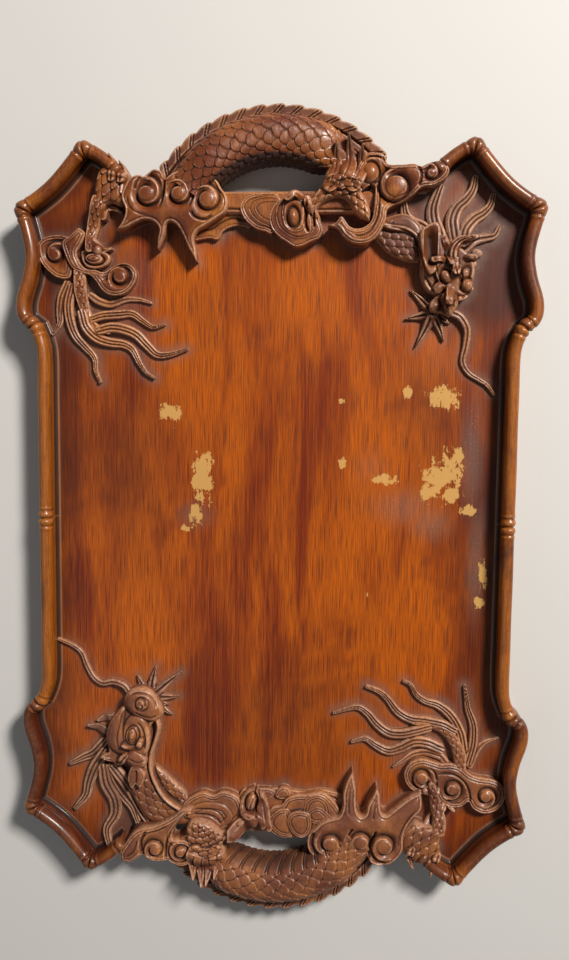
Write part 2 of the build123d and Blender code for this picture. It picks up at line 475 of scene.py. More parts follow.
def scale_height(along: np.ndarray, across: np.ndarray, crown: float, point: float) -> np.ndarray:
    """Height, 0 to about 1, of roof-tile scales.

    Args:
        along: place along the rows, in scale lengths, free edges towards larger values.
        across: place across the rows, in scale lengths.
        crown: fullness of each scale over its sides.
        point: 2 for a round free edge, 1 for a straight-sided point.

    Returns:
        The heights.
    """
    straight, tip_length = 0.7, 0.95       # in scale lengths
    best = np.zeros_like(along)
    taken = np.zeros(along.shape, bool)
    for back in (1, 0, -1):
        row = np.floor(along) - back
        b = across - 0.5 * (row % 2)
        dv = np.abs(b - np.round(b)) * 2
        du = along - row
        tip = np.clip((du - straight) / tip_length, 0, None)
        edge = 1 - tip**point - dv**point
        inside = (edge > 0) & (du > 0) & ~taken
        value = 0.15 + 0.6 * du / (straight + tip_length) + crown * (1 - dv**2) * 0.4
        best = np.where(inside, value - 0.3 * bell(edge / 0.09), best)
        taken |= inside
    return best


# ------------------------------------------------------------------------------ from cuts to mesh
@dataclass
class Relief:
    """A list of cuts, carved in order and shifted as one."""

    cuts: list[Cut]
    shift: Point = (0.0, 0.0)

    def bounds(self) -> Corners:
        """Corners of what the cuts cover, in the tray's plan."""
        corners = [cut.reach() for cut in self.cuts if cut.margin < FAR]
        low, high = np.min([c[0] for c in corners], axis=0), np.max([c[1] for c in corners], axis=0)
        return low - 3 + np.asarray(self.shift), high + 3 + np.asarray(self.shift)

    def carve(self, p: np.ndarray, reach: float = 4.0) -> tuple[np.ndarray, np.ndarray]:
        """Carves at points p of the rear end's plan.

        Args:
            p: the points.
            reach: how far beyond each cut it's still worked out.

        Returns:
            Heights, and depths inside the carving.
        """
        q = p - np.asarray(self.shift)
        h, depth = np.zeros(len(q)), np.full(len(q), -FAR)
        for cut in self.cuts:
            low, high = cut.reach()
            over = cut.margin + reach
            close = ((q > low - over) & (q < high + over)).all(1)
            if close.any():
                part_h, part_depth = h[close], depth[close]
                cut.cut(q[close], part_h, part_depth)
                h[close], depth[close] = part_h, part_depth
        return h, depth


def vertex_values(obj: bpy.types.Object, name: str) -> np.ndarray:
    """Reads co or normal of each vertex, N by 3."""
    values = np.empty(len(obj.data.vertices) * 3)
    obj.data.vertices.foreach_get(name, values)
    return values.reshape(-1, 3)


def set_marks(obj: bpy.types.Object, edge: np.ndarray, cavity: np.ndarray,
              dust: np.ndarray, worn: Optional[np.ndarray] = None) -> None:
    """Stores what the finishes need at each point, as one colour attribute named marks.

    Args:
        obj: the piece.
        edge: how sharply the surface stands out, or, on the board, how stained it is, with painted
            shade along the rim, 0 to 1.
        cavity: how deep it lies, raised on some pieces all over and on the bow's inner side as painted
            shade, 0 to 1; the finishes darken it, partly as painted shade.
        dust: how much dust has settled, 0 to 1.
        worn: how far the finish is rubbed through, 0 to 1.
    """
    marks = np.zeros((len(obj.data.vertices), 4), np.float32)
    marks[:, 0], marks[:, 1], marks[:, 2] = edge, cavity, dust
    marks[:, 3] = 0 if worn is None else worn
    attribute = obj.data.attributes.new("marks", "FLOAT_COLOR", "POINT")
    attribute.data.foreach_set("color", marks.ravel())


def surface_shape(obj: bpy.types.Object) -> tuple[np.ndarray, np.ndarray]:
    """Measures how each point of a mesh stands out from, or lies in, what is around it.

    Args:
        obj: the piece.

    Returns:
        Edge and cavity values from 0 to 1.
    """
    fine_rounds, broad_rounds, blend = 5, 30, 0.6
    fine_mm, broad_mm, broad_deep_mm = 0.22, 0.9, 0.8      # reliefs that count as full
    mesh = obj.data
    n = len(mesh.vertices)
    co, normal = vertex_values(obj, "co") / MM, vertex_values(obj, "normal")
    edges = np.empty(len(mesh.edges) * 2, int)
    mesh.edges.foreach_get("vertices", edges)
    a, b = edges.reshape(-1, 2).T
    count = np.maximum(np.bincount(a, minlength=n) + np.bincount(b, minlength=n), 1)
    smooth, stands = co.copy(), {}
    for turn in range(1, broad_rounds + 1):
        total = np.stack([np.bincount(a, smooth[b, k], n) + np.bincount(b, smooth[a, k], n)
                          for k in range(3)], 1)
        smooth = (1 - blend) * smooth + blend * total / count[:, None]
        if turn in (fine_rounds, broad_rounds):
            stands[turn] = ((co - smooth) * normal).sum(1)
    fine, broad = stands[fine_rounds], stands[broad_rounds]
    edge = np.clip(fine / fine_mm, 0, 1) * 0.6 + np.clip(broad / broad_mm, 0, 1) * 0.5
    cavity = np.clip(-fine / fine_mm, 0, 1) * 0.55 + np.clip(-broad / broad_deep_mm, 0, 1) * 0.6
    return np.clip(edge, 0, 1), np.clip(cavity, 0, 1)


def finish_mesh(obj: bpy.types.Object, material: bpy.types.Material, node: str,
                sharp: float = 62.0) -> bpy.types.Object:
    """Gives a piece its material and slot, smooth shading and body, and hides the CAD node that it
    stands for.

    Args:
        obj: the piece.
        material: its finish.
        node: the CAD node.
        sharp: angle over which an edge stays crisp.

    Returns:
        The piece.
    """
    obj.data.materials.append(material)
    obj.data.polygons.foreach_set("use_smooth", [True] * len(obj.data.polygons))
    obj.data.set_sharp_from_angle(angle=math.radians(sharp))
    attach(obj, "root")
    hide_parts(node)
    LOG.info("%s: %d faces", obj.name, len(obj.data.polygons))
    return obj


def unit_grid(columns: int, rows: int) -> tuple[bmesh.types.BMesh, np.ndarray]:
    """Makes a grid and returns it with each vertex's place in it, 0 to 1 both ways."""
    bm = bmesh.new()
    bmesh.ops.create_grid(bm, x_segments=columns, y_segments=rows, size=1)
    co = np.array([v.co[:2] for v in bm.verts])
    return bm, (co - co.min(0)) / (co.max(0) - co.min(0))


def link_mesh(name: str, bm: bmesh.types.BMesh) -> bpy.types.Object:
    """Makes a bmesh an object in the scene."""
    mesh = bpy.data.meshes.new(name)
    bm.to_mesh(mesh)
    bm.free()
    obj = bpy.data.objects.new(name, mesh)
    bpy.context.scene.collection.objects.link(obj)
    return obj


def close_mesh(name: str, bm: bmesh.types.BMesh, rim: Sequence[bmesh.types.BMEdge],
               sign: float) -> bpy.types.Object:
    """Closes a mesh drawn in mm, turns it to its end and makes it an object in metres.

    Args:
        name: the object's name.
        bm: the mesh.
        rim: its open edges.
        sign: factor on x and y.

    Returns:
        The object.
    """
    bmesh.ops.holes_fill(bm, edges=rim, sides=0)
    bmesh.ops.recalc_face_normals(bm, faces=bm.faces)
    turn = Matrix.Diagonal((sign, sign, 1, 1))
    bmesh.ops.transform(bm, matrix=Matrix.Scale(MM, 4) @ turn, verts=bm.verts)
    return link_mesh(name, bm)


def wrap_sheet(name: str, bm: bmesh.types.BMesh, places: np.ndarray,
               sign: float = 1.0) -> bpy.types.Object:
    """Bends a grid into a closed bar: its seam is welded and its ends are filled.

    Args:
        name: the object's name.
        bm: the grid.
        places: where its vertices go, N by 3.
        sign: factor on x and y.

    Returns:
        The object.
    """
    for v, place in zip(bm.verts, places):
        v.co = place
    bmesh.ops.remove_doubles(bm, verts=bm.verts, dist=WELD)
    return close_mesh(name, bm, [e for e in bm.edges if e.is_boundary], sign)


@dataclass
class Block:
    """A block of wood that a relief is cut into."""

    name: str
    relief: Relief
    end: End
    base: float = BOARD_TOP                # its underside, above the table
    pitch: float = PITCH
    skin: float = 0.4                      # least thickness

    def plan(self) -> tuple[bmesh.types.BMesh, np.ndarray]:
        """Cuts a fine grid to the carving's outline and returns it with its places in plan."""
        low, high = self.relief.bounds()
        count = np.maximum(np.ceil((high - low) / self.pitch).astype(int), 4)
        bm, unit = unit_grid(int(count[0]), int(count[1]))
        p, (column, row) = low + unit * (high - low), np.rint(unit * count).astype(int).T
        depth = self.relief.carve(p)[1]
        table = np.zeros(count + 1)
        table[column, row] = depth
        slope = (np.stack(np.gradient(table), 2) / self.pitch)[column, row]
        bm.verts.index_update()
        known = list(bm.verts)
        outside = [f for f in bm.faces if sum(depth[v.index] for v in f.verts) <= 0]
        bmesh.ops.delete(bm, geom=outside, context="FACES_ONLY")
        bmesh.ops.delete(bm, geom=[e for e in bm.edges if not e.link_faces], context="EDGES")
        bmesh.ops.delete(bm, geom=[v for v in bm.verts if not v.link_faces], context="VERTS")
        # the points along the edge slide onto the outline
        move = -depth[:, None] * slope / np.maximum((slope**2).sum(1), 0.25)[:, None]
        far = np.maximum(np.hypot(move[:, 0], move[:, 1]) / (0.85 * self.pitch), 1)
        moved = p + move / far[:, None]
        place = {v: moved[i] if v.is_boundary else p[i] for i, v in enumerate(known) if v.is_valid}
        return bm, np.array([place[v] for v in bm.verts])

    def build(self) -> bpy.types.Object:
        """Carves the block and closes it with upright walls and a flat base."""
        bm, places = self.plan()
        h, _ = self.relief.carve(places)
        for v, (x, y), z in zip(bm.verts, places, h):
            v.co = (x, y, max(BOARD_TOP + z, self.base + self.skin))
        rim = [e for e in bm.edges if e.is_boundary]
        for share in (0.5, 0.0):
            ring = bmesh.ops.extrude_edge_only(bm, edges=rim)["geom"]
            for v in (g for g in ring if isinstance(g, bmesh.types.BMVert)):
                v.co.z = self.base + (v.co.z - self.base) * share
            rim = [g for g in ring if isinstance(g, bmesh.types.BMEdge) and g.is_boundary]
        return close_mesh(self.name, bm, rim, self.end.sign)


# ------------------------------------------------------------------------------ finishes
def linear(code: str) -> tuple[float, float, float, float]:
    """Turns an sRGB hex colour to linear."""
    parts = [int(code[i:i + 2], 16) / 255 for i in (1, 3, 5)]
    r, g, b = (c / 12.92 if c <= 0.04045 else ((c + 0.055) / 1.055) ** 2.4 for c in parts)
    return r, g, b, 1.0


class Shader:
    """A material's node tree, with one method that adds a node and short ones for its sums."""

    def __init__(self, name: str) -> None:
        """Starts an empty node tree."""
        self.material = bpy.data.materials.new(name)
        self.material.use_nodes = True
        self.tree = self.material.node_tree
        self.tree.nodes.clear()

    def add(self, kind: str, settings: Optional[dict] = None, **inputs: object) -> bpy.types.Node:
        """Adds a node.

        Args:
            kind: the node's type.
            settings: its properties.
            inputs: values, or sockets to link, by input name, with _ for a space; in0, in1 and
                so on name inputs by place.

        Returns:
            The node.
        """
        node = self.tree.nodes.new("ShaderNode" + kind)
        for key, value in (settings or {}).items():
            setattr(node, key, value)
        for key, value in inputs.items():
            is_place = key.startswith("in") and key[2:].isdigit()
            socket = node.inputs[int(key[2:]) if is_place else key.replace("_", " ")]
            if isinstance(value, Socket):
                self.tree.links.new(value, socket)
            else:
                socket.default_value = value
        return node

    def operate(self, operation: str, a: object, b: object) -> Socket:
        """Adds a Math node and returns its output."""
        return self.add("Math", {"operation": operation}, in0=a, in1=b).outputs[0]

    def plus(self, *values: object) -> Socket:
        """Adds values together."""
        total = values[0]
        for value in values[1:]:
            total = self.operate("ADD", total, value)
        return total

    def times(self, a: object, b: object) -> Socket:
        """Multiplies two values."""
        return self.operate("MULTIPLY", a, b)

    def swing(self, pattern: Socket, strength: float) -> Socket:
        """A 0..1 pattern made to swing about 0, times a strength."""
        return self.times(self.operate("SUBTRACT", pattern, 0.5), strength)

    def mix(self, factor: object, a: object, b: object) -> Socket:
        """Mixes two colours and returns the result."""
        settings = {"data_type": "RGBA", "blend_type": "MIX", "clamp_factor": True}
        return self.add("Mix", settings, in0=factor, in6=a, in7=b).outputs[2]

    def tint(self, tone: Socket, mask: Socket, strength: float, code: str) -> Socket:
        """Mixes a hex colour into a tone where a mask is high."""
        return self.mix(self.times(mask, strength), tone, linear(code))

    def ramp(self, value: object, low: float, high: float) -> Socket:
        """Maps low..high to 0..1 with smooth ends."""
        node = self.add("MapRange", {"interpolation_type": "SMOOTHSTEP", "clamp": True},
                        Value=value, From_Min=low, From_Max=high)
        return node.outputs[0]

    def noise(self, cells: Cells, detail: float = 3.0, rough: float = 0.55, warp: float = 0.0) -> Socket:
        """Adds noise on Object coordinates."""
        place = self.add("TexCoord").outputs["Object"]
        mapped = self.add("Mapping", {"vector_type": "POINT"}, Vector=place, Scale=tuple(cells))
        return self.add("TexNoise", {"noise_dimensions": "3D"}, Vector=mapped.outputs[0], Scale=1.0,
                        Detail=detail, Roughness=rough, Distortion=warp).outputs["Fac"]

    def grain(self, width_mm: float, length_mm: float, detail: float, rough: float) -> Socket:
        """Adds noise drawn out along y, as wood grain is."""
        across, along = 1 / (width_mm * MM), 1 / (length_mm * MM)
        return self.noise((across, along, across), detail, rough)

    def bump(self, height: Socket, strength: float, depth_mm: float) -> Socket:
        """Turns a height into a normal."""
        return self.add("Bump", None, Strength=strength, Distance=depth_mm * MM,
                        Height=height).outputs[0]

    def marks(self) -> tuple[Socket, ...]:
        """Edge, cavity, dust and worn values of the piece."""
        attribute = self.add("Attribute", {"attribute_name": "marks"})
        split = self.add("SeparateColor", None, Color=attribute.outputs["Color"]).outputs
        return split[0], split[1], split[2], attribute.outputs["Alpha"]

    def surface(self, colour: object, rough: object, **inputs: object) -> bpy.types.Material:
        """Ends the tree with a Principled shader.

        Args:
            colour: base colour.
            rough: roughness.
            inputs: its other inputs, by name.

        Returns:
            The material.
        """
        shader = self.add("BsdfPrincipled", None, Base_Color=colour, Roughness=rough, IOR=WOOD_IOR,
                          **inputs)
        self.add("OutputMaterial", None, Surface=shader.outputs[0])
        return self.material


@dataclass(frozen=True)
class CarvedRosewood:
    """Oiled and shellacked rosewood, cut with gouges.

    Handling has rubbed the edges pale and satin; the cuts are dull and painted dark, partly for
    old polish and dust and partly as painted shade, so each gouge line reads as a dark line beside
    a light one.
    """

    name: str = "carved_rosewood"
    body: str = "#8E5226"
    deep_red: str = "#622C12"
    amber: str = "#B4702A"
    crevice_dirt_and_shade: str = "#1C0D0A"
    rubbed: str = "#D8A988"
    dust: str = "#94705F"
    roughness: float = 0.40
    grain_width_mm: float = 1.1
    grain_length_mm: float = 14.0
    cloud_cells: Cells = (38, 26, 38)
    lump_cells: Cells = (170, 170, 170)
    speck_cells: Cells = (420, 420, 420)
    bump_mm: float = 0.9

    def build(self) -> bpy.types.Material:
        """Makes the material."""
        s = Shader(self.name)
        edge, cavity, dust, _ = s.marks()
        grain = s.grain(self.grain_width_mm, self.grain_length_mm, 4.0, 0.62)
        cloud = s.noise(self.cloud_cells, 3.0, 0.55, 0.4)
        speck = s.noise(self.speck_cells, 2.0, 0.5)
        tone = s.mix(s.ramp(cloud, 0.36, 0.62), linear(self.deep_red), linear(self.body))
        tone = s.tint(tone, s.ramp(cloud, 0.52, 0.72), 0.55, self.amber)
        tone = s.tint(tone, s.ramp(grain, 0.62, 0.38), 0.45, self.deep_red)
        grey = s.times(s.ramp(s.plus(dust, s.times(speck, 0.3)), 0.35, 1.1), 0.75)
        tone = s.mix(grey, tone, linear(self.dust))
        # painted shade: the cuts, and whole pieces that carry a stain value, darken towards near black,
        # partly for old polish and dust
        dark = s.ramp(s.plus(cavity, s.times(grain, 0.15)), 0.15, 0.95)
        tone = s.tint(tone, dark, 0.88, self.crevice_dirt_and_shade)
        tone = s.tint(tone, s.ramp(s.times(edge, s.plus(speck, 0.5)), 0.5, 1.15), 0.45, self.rubbed)
        rough = s.plus(s.times(dark, 0.35), self.roughness, s.times(grey, 0.3))
        height = s.plus(s.times(grain, 0.3), s.times(speck, 0.2), s.noise(self.lump_cells, 2.0, 0.5))
        return s.surface(tone, rough, Normal=s.bump(height, 0.5, self.bump_mm),
                         Specular_IOR_Level=0.42, Coat_Weight=0.2, Coat_Roughness=0.2)


@dataclass(frozen=True)
class BambooRimPolish:
    """Rosewood worked to look like bamboo canes and polished by hands.

    Warm orange-brown with long fine grain along the cane, darker and redder in patches, with a
    soft satin streak along its round top.
    """

    name: str = "rim_rosewood"
    light: str = "#9C560C"
    body: str = "#6F340C"
    dark: str = "#47190A"
    crevice_dirt_and_shade: str = "#170A07"
    rubbed: str = "#D8A070"
    dust: str = "#74594C"
    roughness: float = 0.38
    grain_width_mm: float = 1.0
    grain_length_mm: float = 22.0
    cloud_cells: Cells = (30, 14, 30)
    speck_cells: Cells = (500, 300, 500)
    bump_mm: float = 0.4

    def build(self) -> bpy.types.Material:
        """Makes the material."""
        s = Shader(self.name)
        edge, cavity, dust, worn = s.marks()
        grain = s.grain(self.grain_width_mm, self.grain_length_mm, 4.0, 0.6)
        cloud = s.noise(self.cloud_cells, 3.0, 0.6, 0.5)
        speck = s.noise(self.speck_cells, 2.0, 0.5)
        tone = s.mix(s.ramp(cloud, 0.34, 0.6), linear(self.dark), linear(self.body))
        tone = s.tint(tone, s.ramp(s.plus(cloud, s.times(worn, 0.25)), 0.48, 0.72), 0.85, self.light)
        tone = s.tint(tone, s.ramp(grain, 0.6, 0.36), 0.5, self.dark)
        grey = s.times(s.ramp(s.plus(dust, s.times(speck, 0.25)), 0.3, 1.0), 0.8)
        tone = s.mix(grey, tone, linear(self.dust))
        # painted shade: the rim's hollows, the cove at the foot of the inner wall among them, darken
        # towards near black
        dark = s.ramp(cavity, 0.08, 0.7)
        tone = s.tint(tone, dark, 0.9, self.crevice_dirt_and_shade)
        tone = s.tint(tone, s.ramp(s.times(edge, s.plus(speck, 0.5)), 0.3, 1.1), 0.22, self.rubbed)
        rough = s.plus(s.times(s.plus(dark, grey), 0.3), self.roughness)
        return s.surface(tone, rough, Normal=s.bump(grain, 0.3, self.bump_mm),
                         Specular_IOR_Level=0.35, Coat_Weight=0.25, Coat_Roughness=0.16)


@dataclass(frozen=True)
class FloorBoard:
    """A planed rosewood board under old shellac.

    Fine straight pores run along the tray. Orange and deep red lie in long soft bands, a grey
    bloom of dust and old polish sits round the carvings and along the rim, and the finish is
    rubbed through to pale wood in ragged spots. Stains darken it, and painted shade darkens it
    along the rim and in the rear ears.
    """

    name: str = "floor_rosewood"
    orange: str = "#B85805"
    red: str = "#742405"
    dark: str = "#3A1107"
    stain: str = "#3A160C"
    pale: str = "#C89A55"
    bloom: str = "#6B564C"
    scurf: str = "#A98B6C"
    roughness: float = 0.34
    pore_width_mm: float = 0.42
    pore_length_mm: float = 26.0
    fibre_cells: Cells = (900, 7, 900)
    band_cells: Cells = (26, 4.5, 26)
    patch_cells: Cells = (11, 8, 11)
    speck_cells: Cells = (700, 500, 700)
    blot_cells: Cells = (190, 130, 190)
    bump_mm: float = 0.4

    def build(self) -> bpy.types.Material:
        """Makes the material."""
        s = Shader(self.name)
        stain, _, dust, worn = s.marks()
        pores = s.grain(self.pore_width_mm, self.pore_length_mm, 3.0, 0.6)
        fibre = s.noise(self.fibre_cells, 4.0, 0.65)
        patches = s.noise(self.patch_cells, 3.0, 0.6, 0.8)
        speck = s.noise(self.speck_cells, 2.0, 0.6)
        bands = s.ramp(s.noise(self.band_cells, 3.0, 0.55, 0.6), 0.34, 0.62)
        tone = s.mix(bands, linear(self.red), linear(self.orange))
        tone = s.tint(tone, s.ramp(patches, 0.5, 0.7), 0.55, self.red)
        tone = s.tint(tone, s.ramp(fibre, 0.42, 0.66), 0.5, self.orange)
        tone = s.tint(tone, s.ramp(pores, 0.58, 0.36), 0.72, self.dark)
        # the stain mark holds real stains and painted shade along the rim and in the rear ears
        tone = s.tint(tone, s.ramp(s.plus(stain, s.swing(patches, 0.9)), 0.05, 1.0), 0.85, self.stain)
        haze = s.times(dust, s.plus(s.times(patches, 1.35), 0.2))
        haze = s.times(s.ramp(s.plus(haze, s.swing(speck, 0.2)), 0.15, 0.95), 0.62)
        tone = s.mix(haze, tone, linear(self.bloom))
        crumbs = s.times(s.ramp(speck, 0.6, 0.72), s.ramp(dust, 0.35, 0.8))
        tone = s.tint(tone, crumbs, 0.3, self.scurf)
        blots = s.noise(self.blot_cells, 3.0, 0.6)
        ragged = s.plus(worn, s.swing(speck, 0.4), s.swing(fibre, 0.35), s.swing(blots, 1.2))
        bare = s.ramp(ragged, 0.5, 0.62)
        tone = s.tint(tone, bare, 0.85, self.pale)
        rough = s.plus(s.times(haze, 0.3), self.roughness, s.times(bare, 0.3),
                       s.times(s.ramp(pores, 0.56, 0.36), 0.12))
        height = s.operate("SUBTRACT", s.times(pores, 0.8), s.times(bare, 0.6))
        return s.surface(tone, rough, Normal=s.bump(height, 0.28, self.bump_mm),
                         Specular_IOR_Level=0.35, Coat_Weight=0.06, Coat_Roughness=0.25)


@dataclass(frozen=True)
class PlainDowel:
    """Split and rounded beech pegs, unfinished and pale, hidden in the rim."""

    name: str = "dowel_beech"
    light: str = "#C9A26C"
    dark: str = "#A57C48"
    roughness: float = 0.7
    grain_cells: Cells = (900, 120, 900)

    def build(self) -> bpy.types.Material:
        """Makes the material."""
        s = Shader(self.name)
        grain = s.noise(self.grain_cells, 3.0, 0.6)
        return s.surface(s.mix(grain, linear(self.dark), linear(self.light)), self.roughness)


# ------------------------------------------------------------------------------ carved motifs
@dataclass
class Motif:
    """A carved motif of one end: its cuts, in the rear end's plan, and its place."""

    end: End
    node: str = ""
    shift: Point = (0.0, 0.0)
    base: float = BOARD_TOP                # its underside, above the table
    stain: float = 0.0                     # old dirt in the wood, all over
    film: float = 0.0                      # grey dust, all over
    dust_fall: float = 3.5                 # height over which the recess floor's dust thins out

    def cuts(self) -> list[Cut]:
        """The cuts that make the motif."""
        raise NotImplementedError

    def relief(self) -> Relief:
        """The motif's relief."""
        return Relief(self.cuts(), self.shift)

    def build(self, material: bpy.types.Material) -> bpy.types.Object:
        """Carves the motif and dresses it.

        Args:
            material: the wood.

        Returns:
            The piece.
        """
        node = f"{self.end.label}_{self.node}"
        obj = Block(f"{node}_carving", self.relief(), self.end, self.base).build()
        edge, cavity = surface_shape(obj)
        z = vertex_values(obj, "co")[:, 2] / MM - BOARD_TOP
        dust = np.maximum(np.exp(-np.clip(z, 0, None) / self.dust_fall) * 0.8,
                          max(self.film, self.end.film))
        set_marks(obj, edge, np.maximum(cavity, self.stain), dust)
        return finish_mesh(obj, material, node)


@dataclass
class RuyiCloud(Motif):
    """Three-scroll cloud with two hanging flame tips."""

    node: str = "ruyi_cloud"

    def cuts(self) -> list[Cut]:
        """Plate, scrolls and folds."""
        if self.end is End.REAR:
            outline = [
                (-114, 252), (-110, 258), (-104, 260.5), (-99, 259.5), (-97, 261.5), (-92, 264.5),
                (-86, 263), (-83, 258), (-80, 260), (-74, 263), (-67, 262.5), (-62.5, 258.5),
                (-60, 253.5), (-56, 258), (-50, 259.5), (-44.5, 256.5), (-41, 250.5), (-37.5, 246),
                (-36, 240), (-38, 233), (-44, 228.5), (-52, 223.5), (-59, 219.5), (-62, 214),
                (-60.5, 206), (-60, 197), (-60, 197), (-66, 207), (-70.5, 217), (-74.5, 223.5),
                (-79, 226), (-82.5, 224), (-84, 217), (-86.5, 211), (-90, 206), (-90, 206),
                (-89.5, 214), (-88, 221), (-92, 226), (-99, 227.5), (-107, 224.5), (-113, 221.5),
                (-121, 220), (-121, 220), (-115.5, 227), (-113.5, 235), (-116.5, 244),
            ]
            return [
                Plate(outline, 18.0, 1.8, 0.84, [(2.3, 0.55, 0.8)], crown=1.6),
                Scroll((-97, 246.5), 14.0, 95, -1, 1.2, 4.6, 0.42, 1.6),
                Scroll((-73, 246.5), 12.0, 110, -1, 1.2, 4.4, 0.44, 1.6),
                Scroll((-51.5, 242), 12.0, 120, -1, 1.15, 4.0, 0.5, 1.6),
                Groove([(-84.5, 264), (-83.8, 254), (-85.5, 242), (-88, 235)], 1.0, 3.2),
                Groove([(-61, 259), (-60, 252), (-62.5, 243), (-65, 236)], 1.0, 3.2),
                Groove([(-98, 262), (-104, 256), (-106.5, 249)], 0.9, 2.2),
                Groove([(-112, 246), (-110, 237), (-103, 232), (-95, 230.5)], 0.8, 0.9),
                Groove([(-64, 234), (-60, 229), (-53, 227.5), (-47, 231)], 1.0, 2.2),
                Fall((-80, 232), (0.1, -1), 32, 0.28),
            ]
        outline = [
            (-104.5, 263), (-105, 252), (-107.5, 243), (-112.5, 235), (-118, 229), (-119, 222),
            (-118, 215.5), (-118, 215.5), (-110, 219), (-102, 225), (-95, 231), (-91, 234),
            (-88, 232.5), (-86.5, 226), (-86, 219), (-83.5, 213), (-83.5, 213), (-80.5, 220),
            (-77, 226.5), (-75.5, 233), (-72, 236), (-69, 233), (-67.5, 225), (-67.5, 216),
            (-66, 209), (-64.5, 201), (-64.5, 201), (-60, 210), (-57.5, 219), (-57.5, 228),
            (-54.5, 236), (-48, 238.5), (-41, 241.5), (-36, 246.5), (-31, 252), (-29.5, 259),
            (-31, 266), (-37, 271.5), (-45, 273), (-53, 270.5), (-57.5, 266), (-60.5, 270),
            (-66, 272.5), (-72, 270.5), (-76, 266.5), (-78.5, 272), (-84, 275.5), (-91, 275),
            (-98, 271.5),
        ]
        return [
            Plate(outline, 18.0, 1.8, 0.84, [(2.3, 0.55, 0.8)], crown=1.6),
            Scroll((-90.5, 259), 13.6, 100, -1, 1.2, 4.4, 0.45, 1.6),
            Scroll((-72.5, 256.5), 12.0, 100, -1, 1.2, 4.2, 0.46, 1.6),
            Scroll((-47, 258.5), 14.6, -40, 1, 1.5, 3.6, 0.36, 1.2),
            Groove([(-78.5, 274), (-78.5, 264), (-82, 253), (-84, 245)], 1.0, 3.2),
            Groove([(-58.5, 270), (-60, 262), (-62, 252), (-66, 244)], 1.0, 3.2),
            Groove([(-101, 262), (-102, 250), (-106, 240), (-114, 228)], 0.8, 1.2),
            Groove([(-81, 238), (-82, 230), (-83, 221)], 0.9, 1.2),
            Groove([(-62.5, 236), (-62, 224), (-63.5, 211)], 0.9, 1.2),
            Fall((-75, 238), (0.1, -1), 36, 0.28),
        ]


@dataclass
class WaveBand(Motif):
    """Low wave below the end rail."""

    node: str = "wave_band"

    def cuts(self) -> list[Cut]:
        """One rippled plate."""
        if self.end is End.REAR:
            outline = [(-63, 214), (-58, 213), (-51, 214), (-45, 213), (-41, 219), (-34, 222.5),
                       (-26, 223), (-21, 221.5), (-19, 226), (-26, 234), (-40, 237), (-60, 236)]
            folds = [[(-60, 220), (-50, 220.5), (-43, 225), (-34, 228.5), (-22, 227)],
                     [(-56, 226), (-46, 228), (-38, 232), (-24, 231.5)]]
        else:
            outline = [(-62, 220), (-50, 215), (-38, 213.5), (-28, 216), (-17, 215), (-8, 213.5),
                       (4, 214.5), (14, 215), (24, 217), (26, 232), (0, 234), (-40, 234), (-62, 234)]
            folds = [[(-56, 222), (-44, 218), (-30, 219), (-18, 217)]]
        return [Plate(outline, 5.5, 1.4, 0.7, [(1.4, 0.5, 0.7)])] + [Groove(f, 0.9, 1.4) for f in folds]


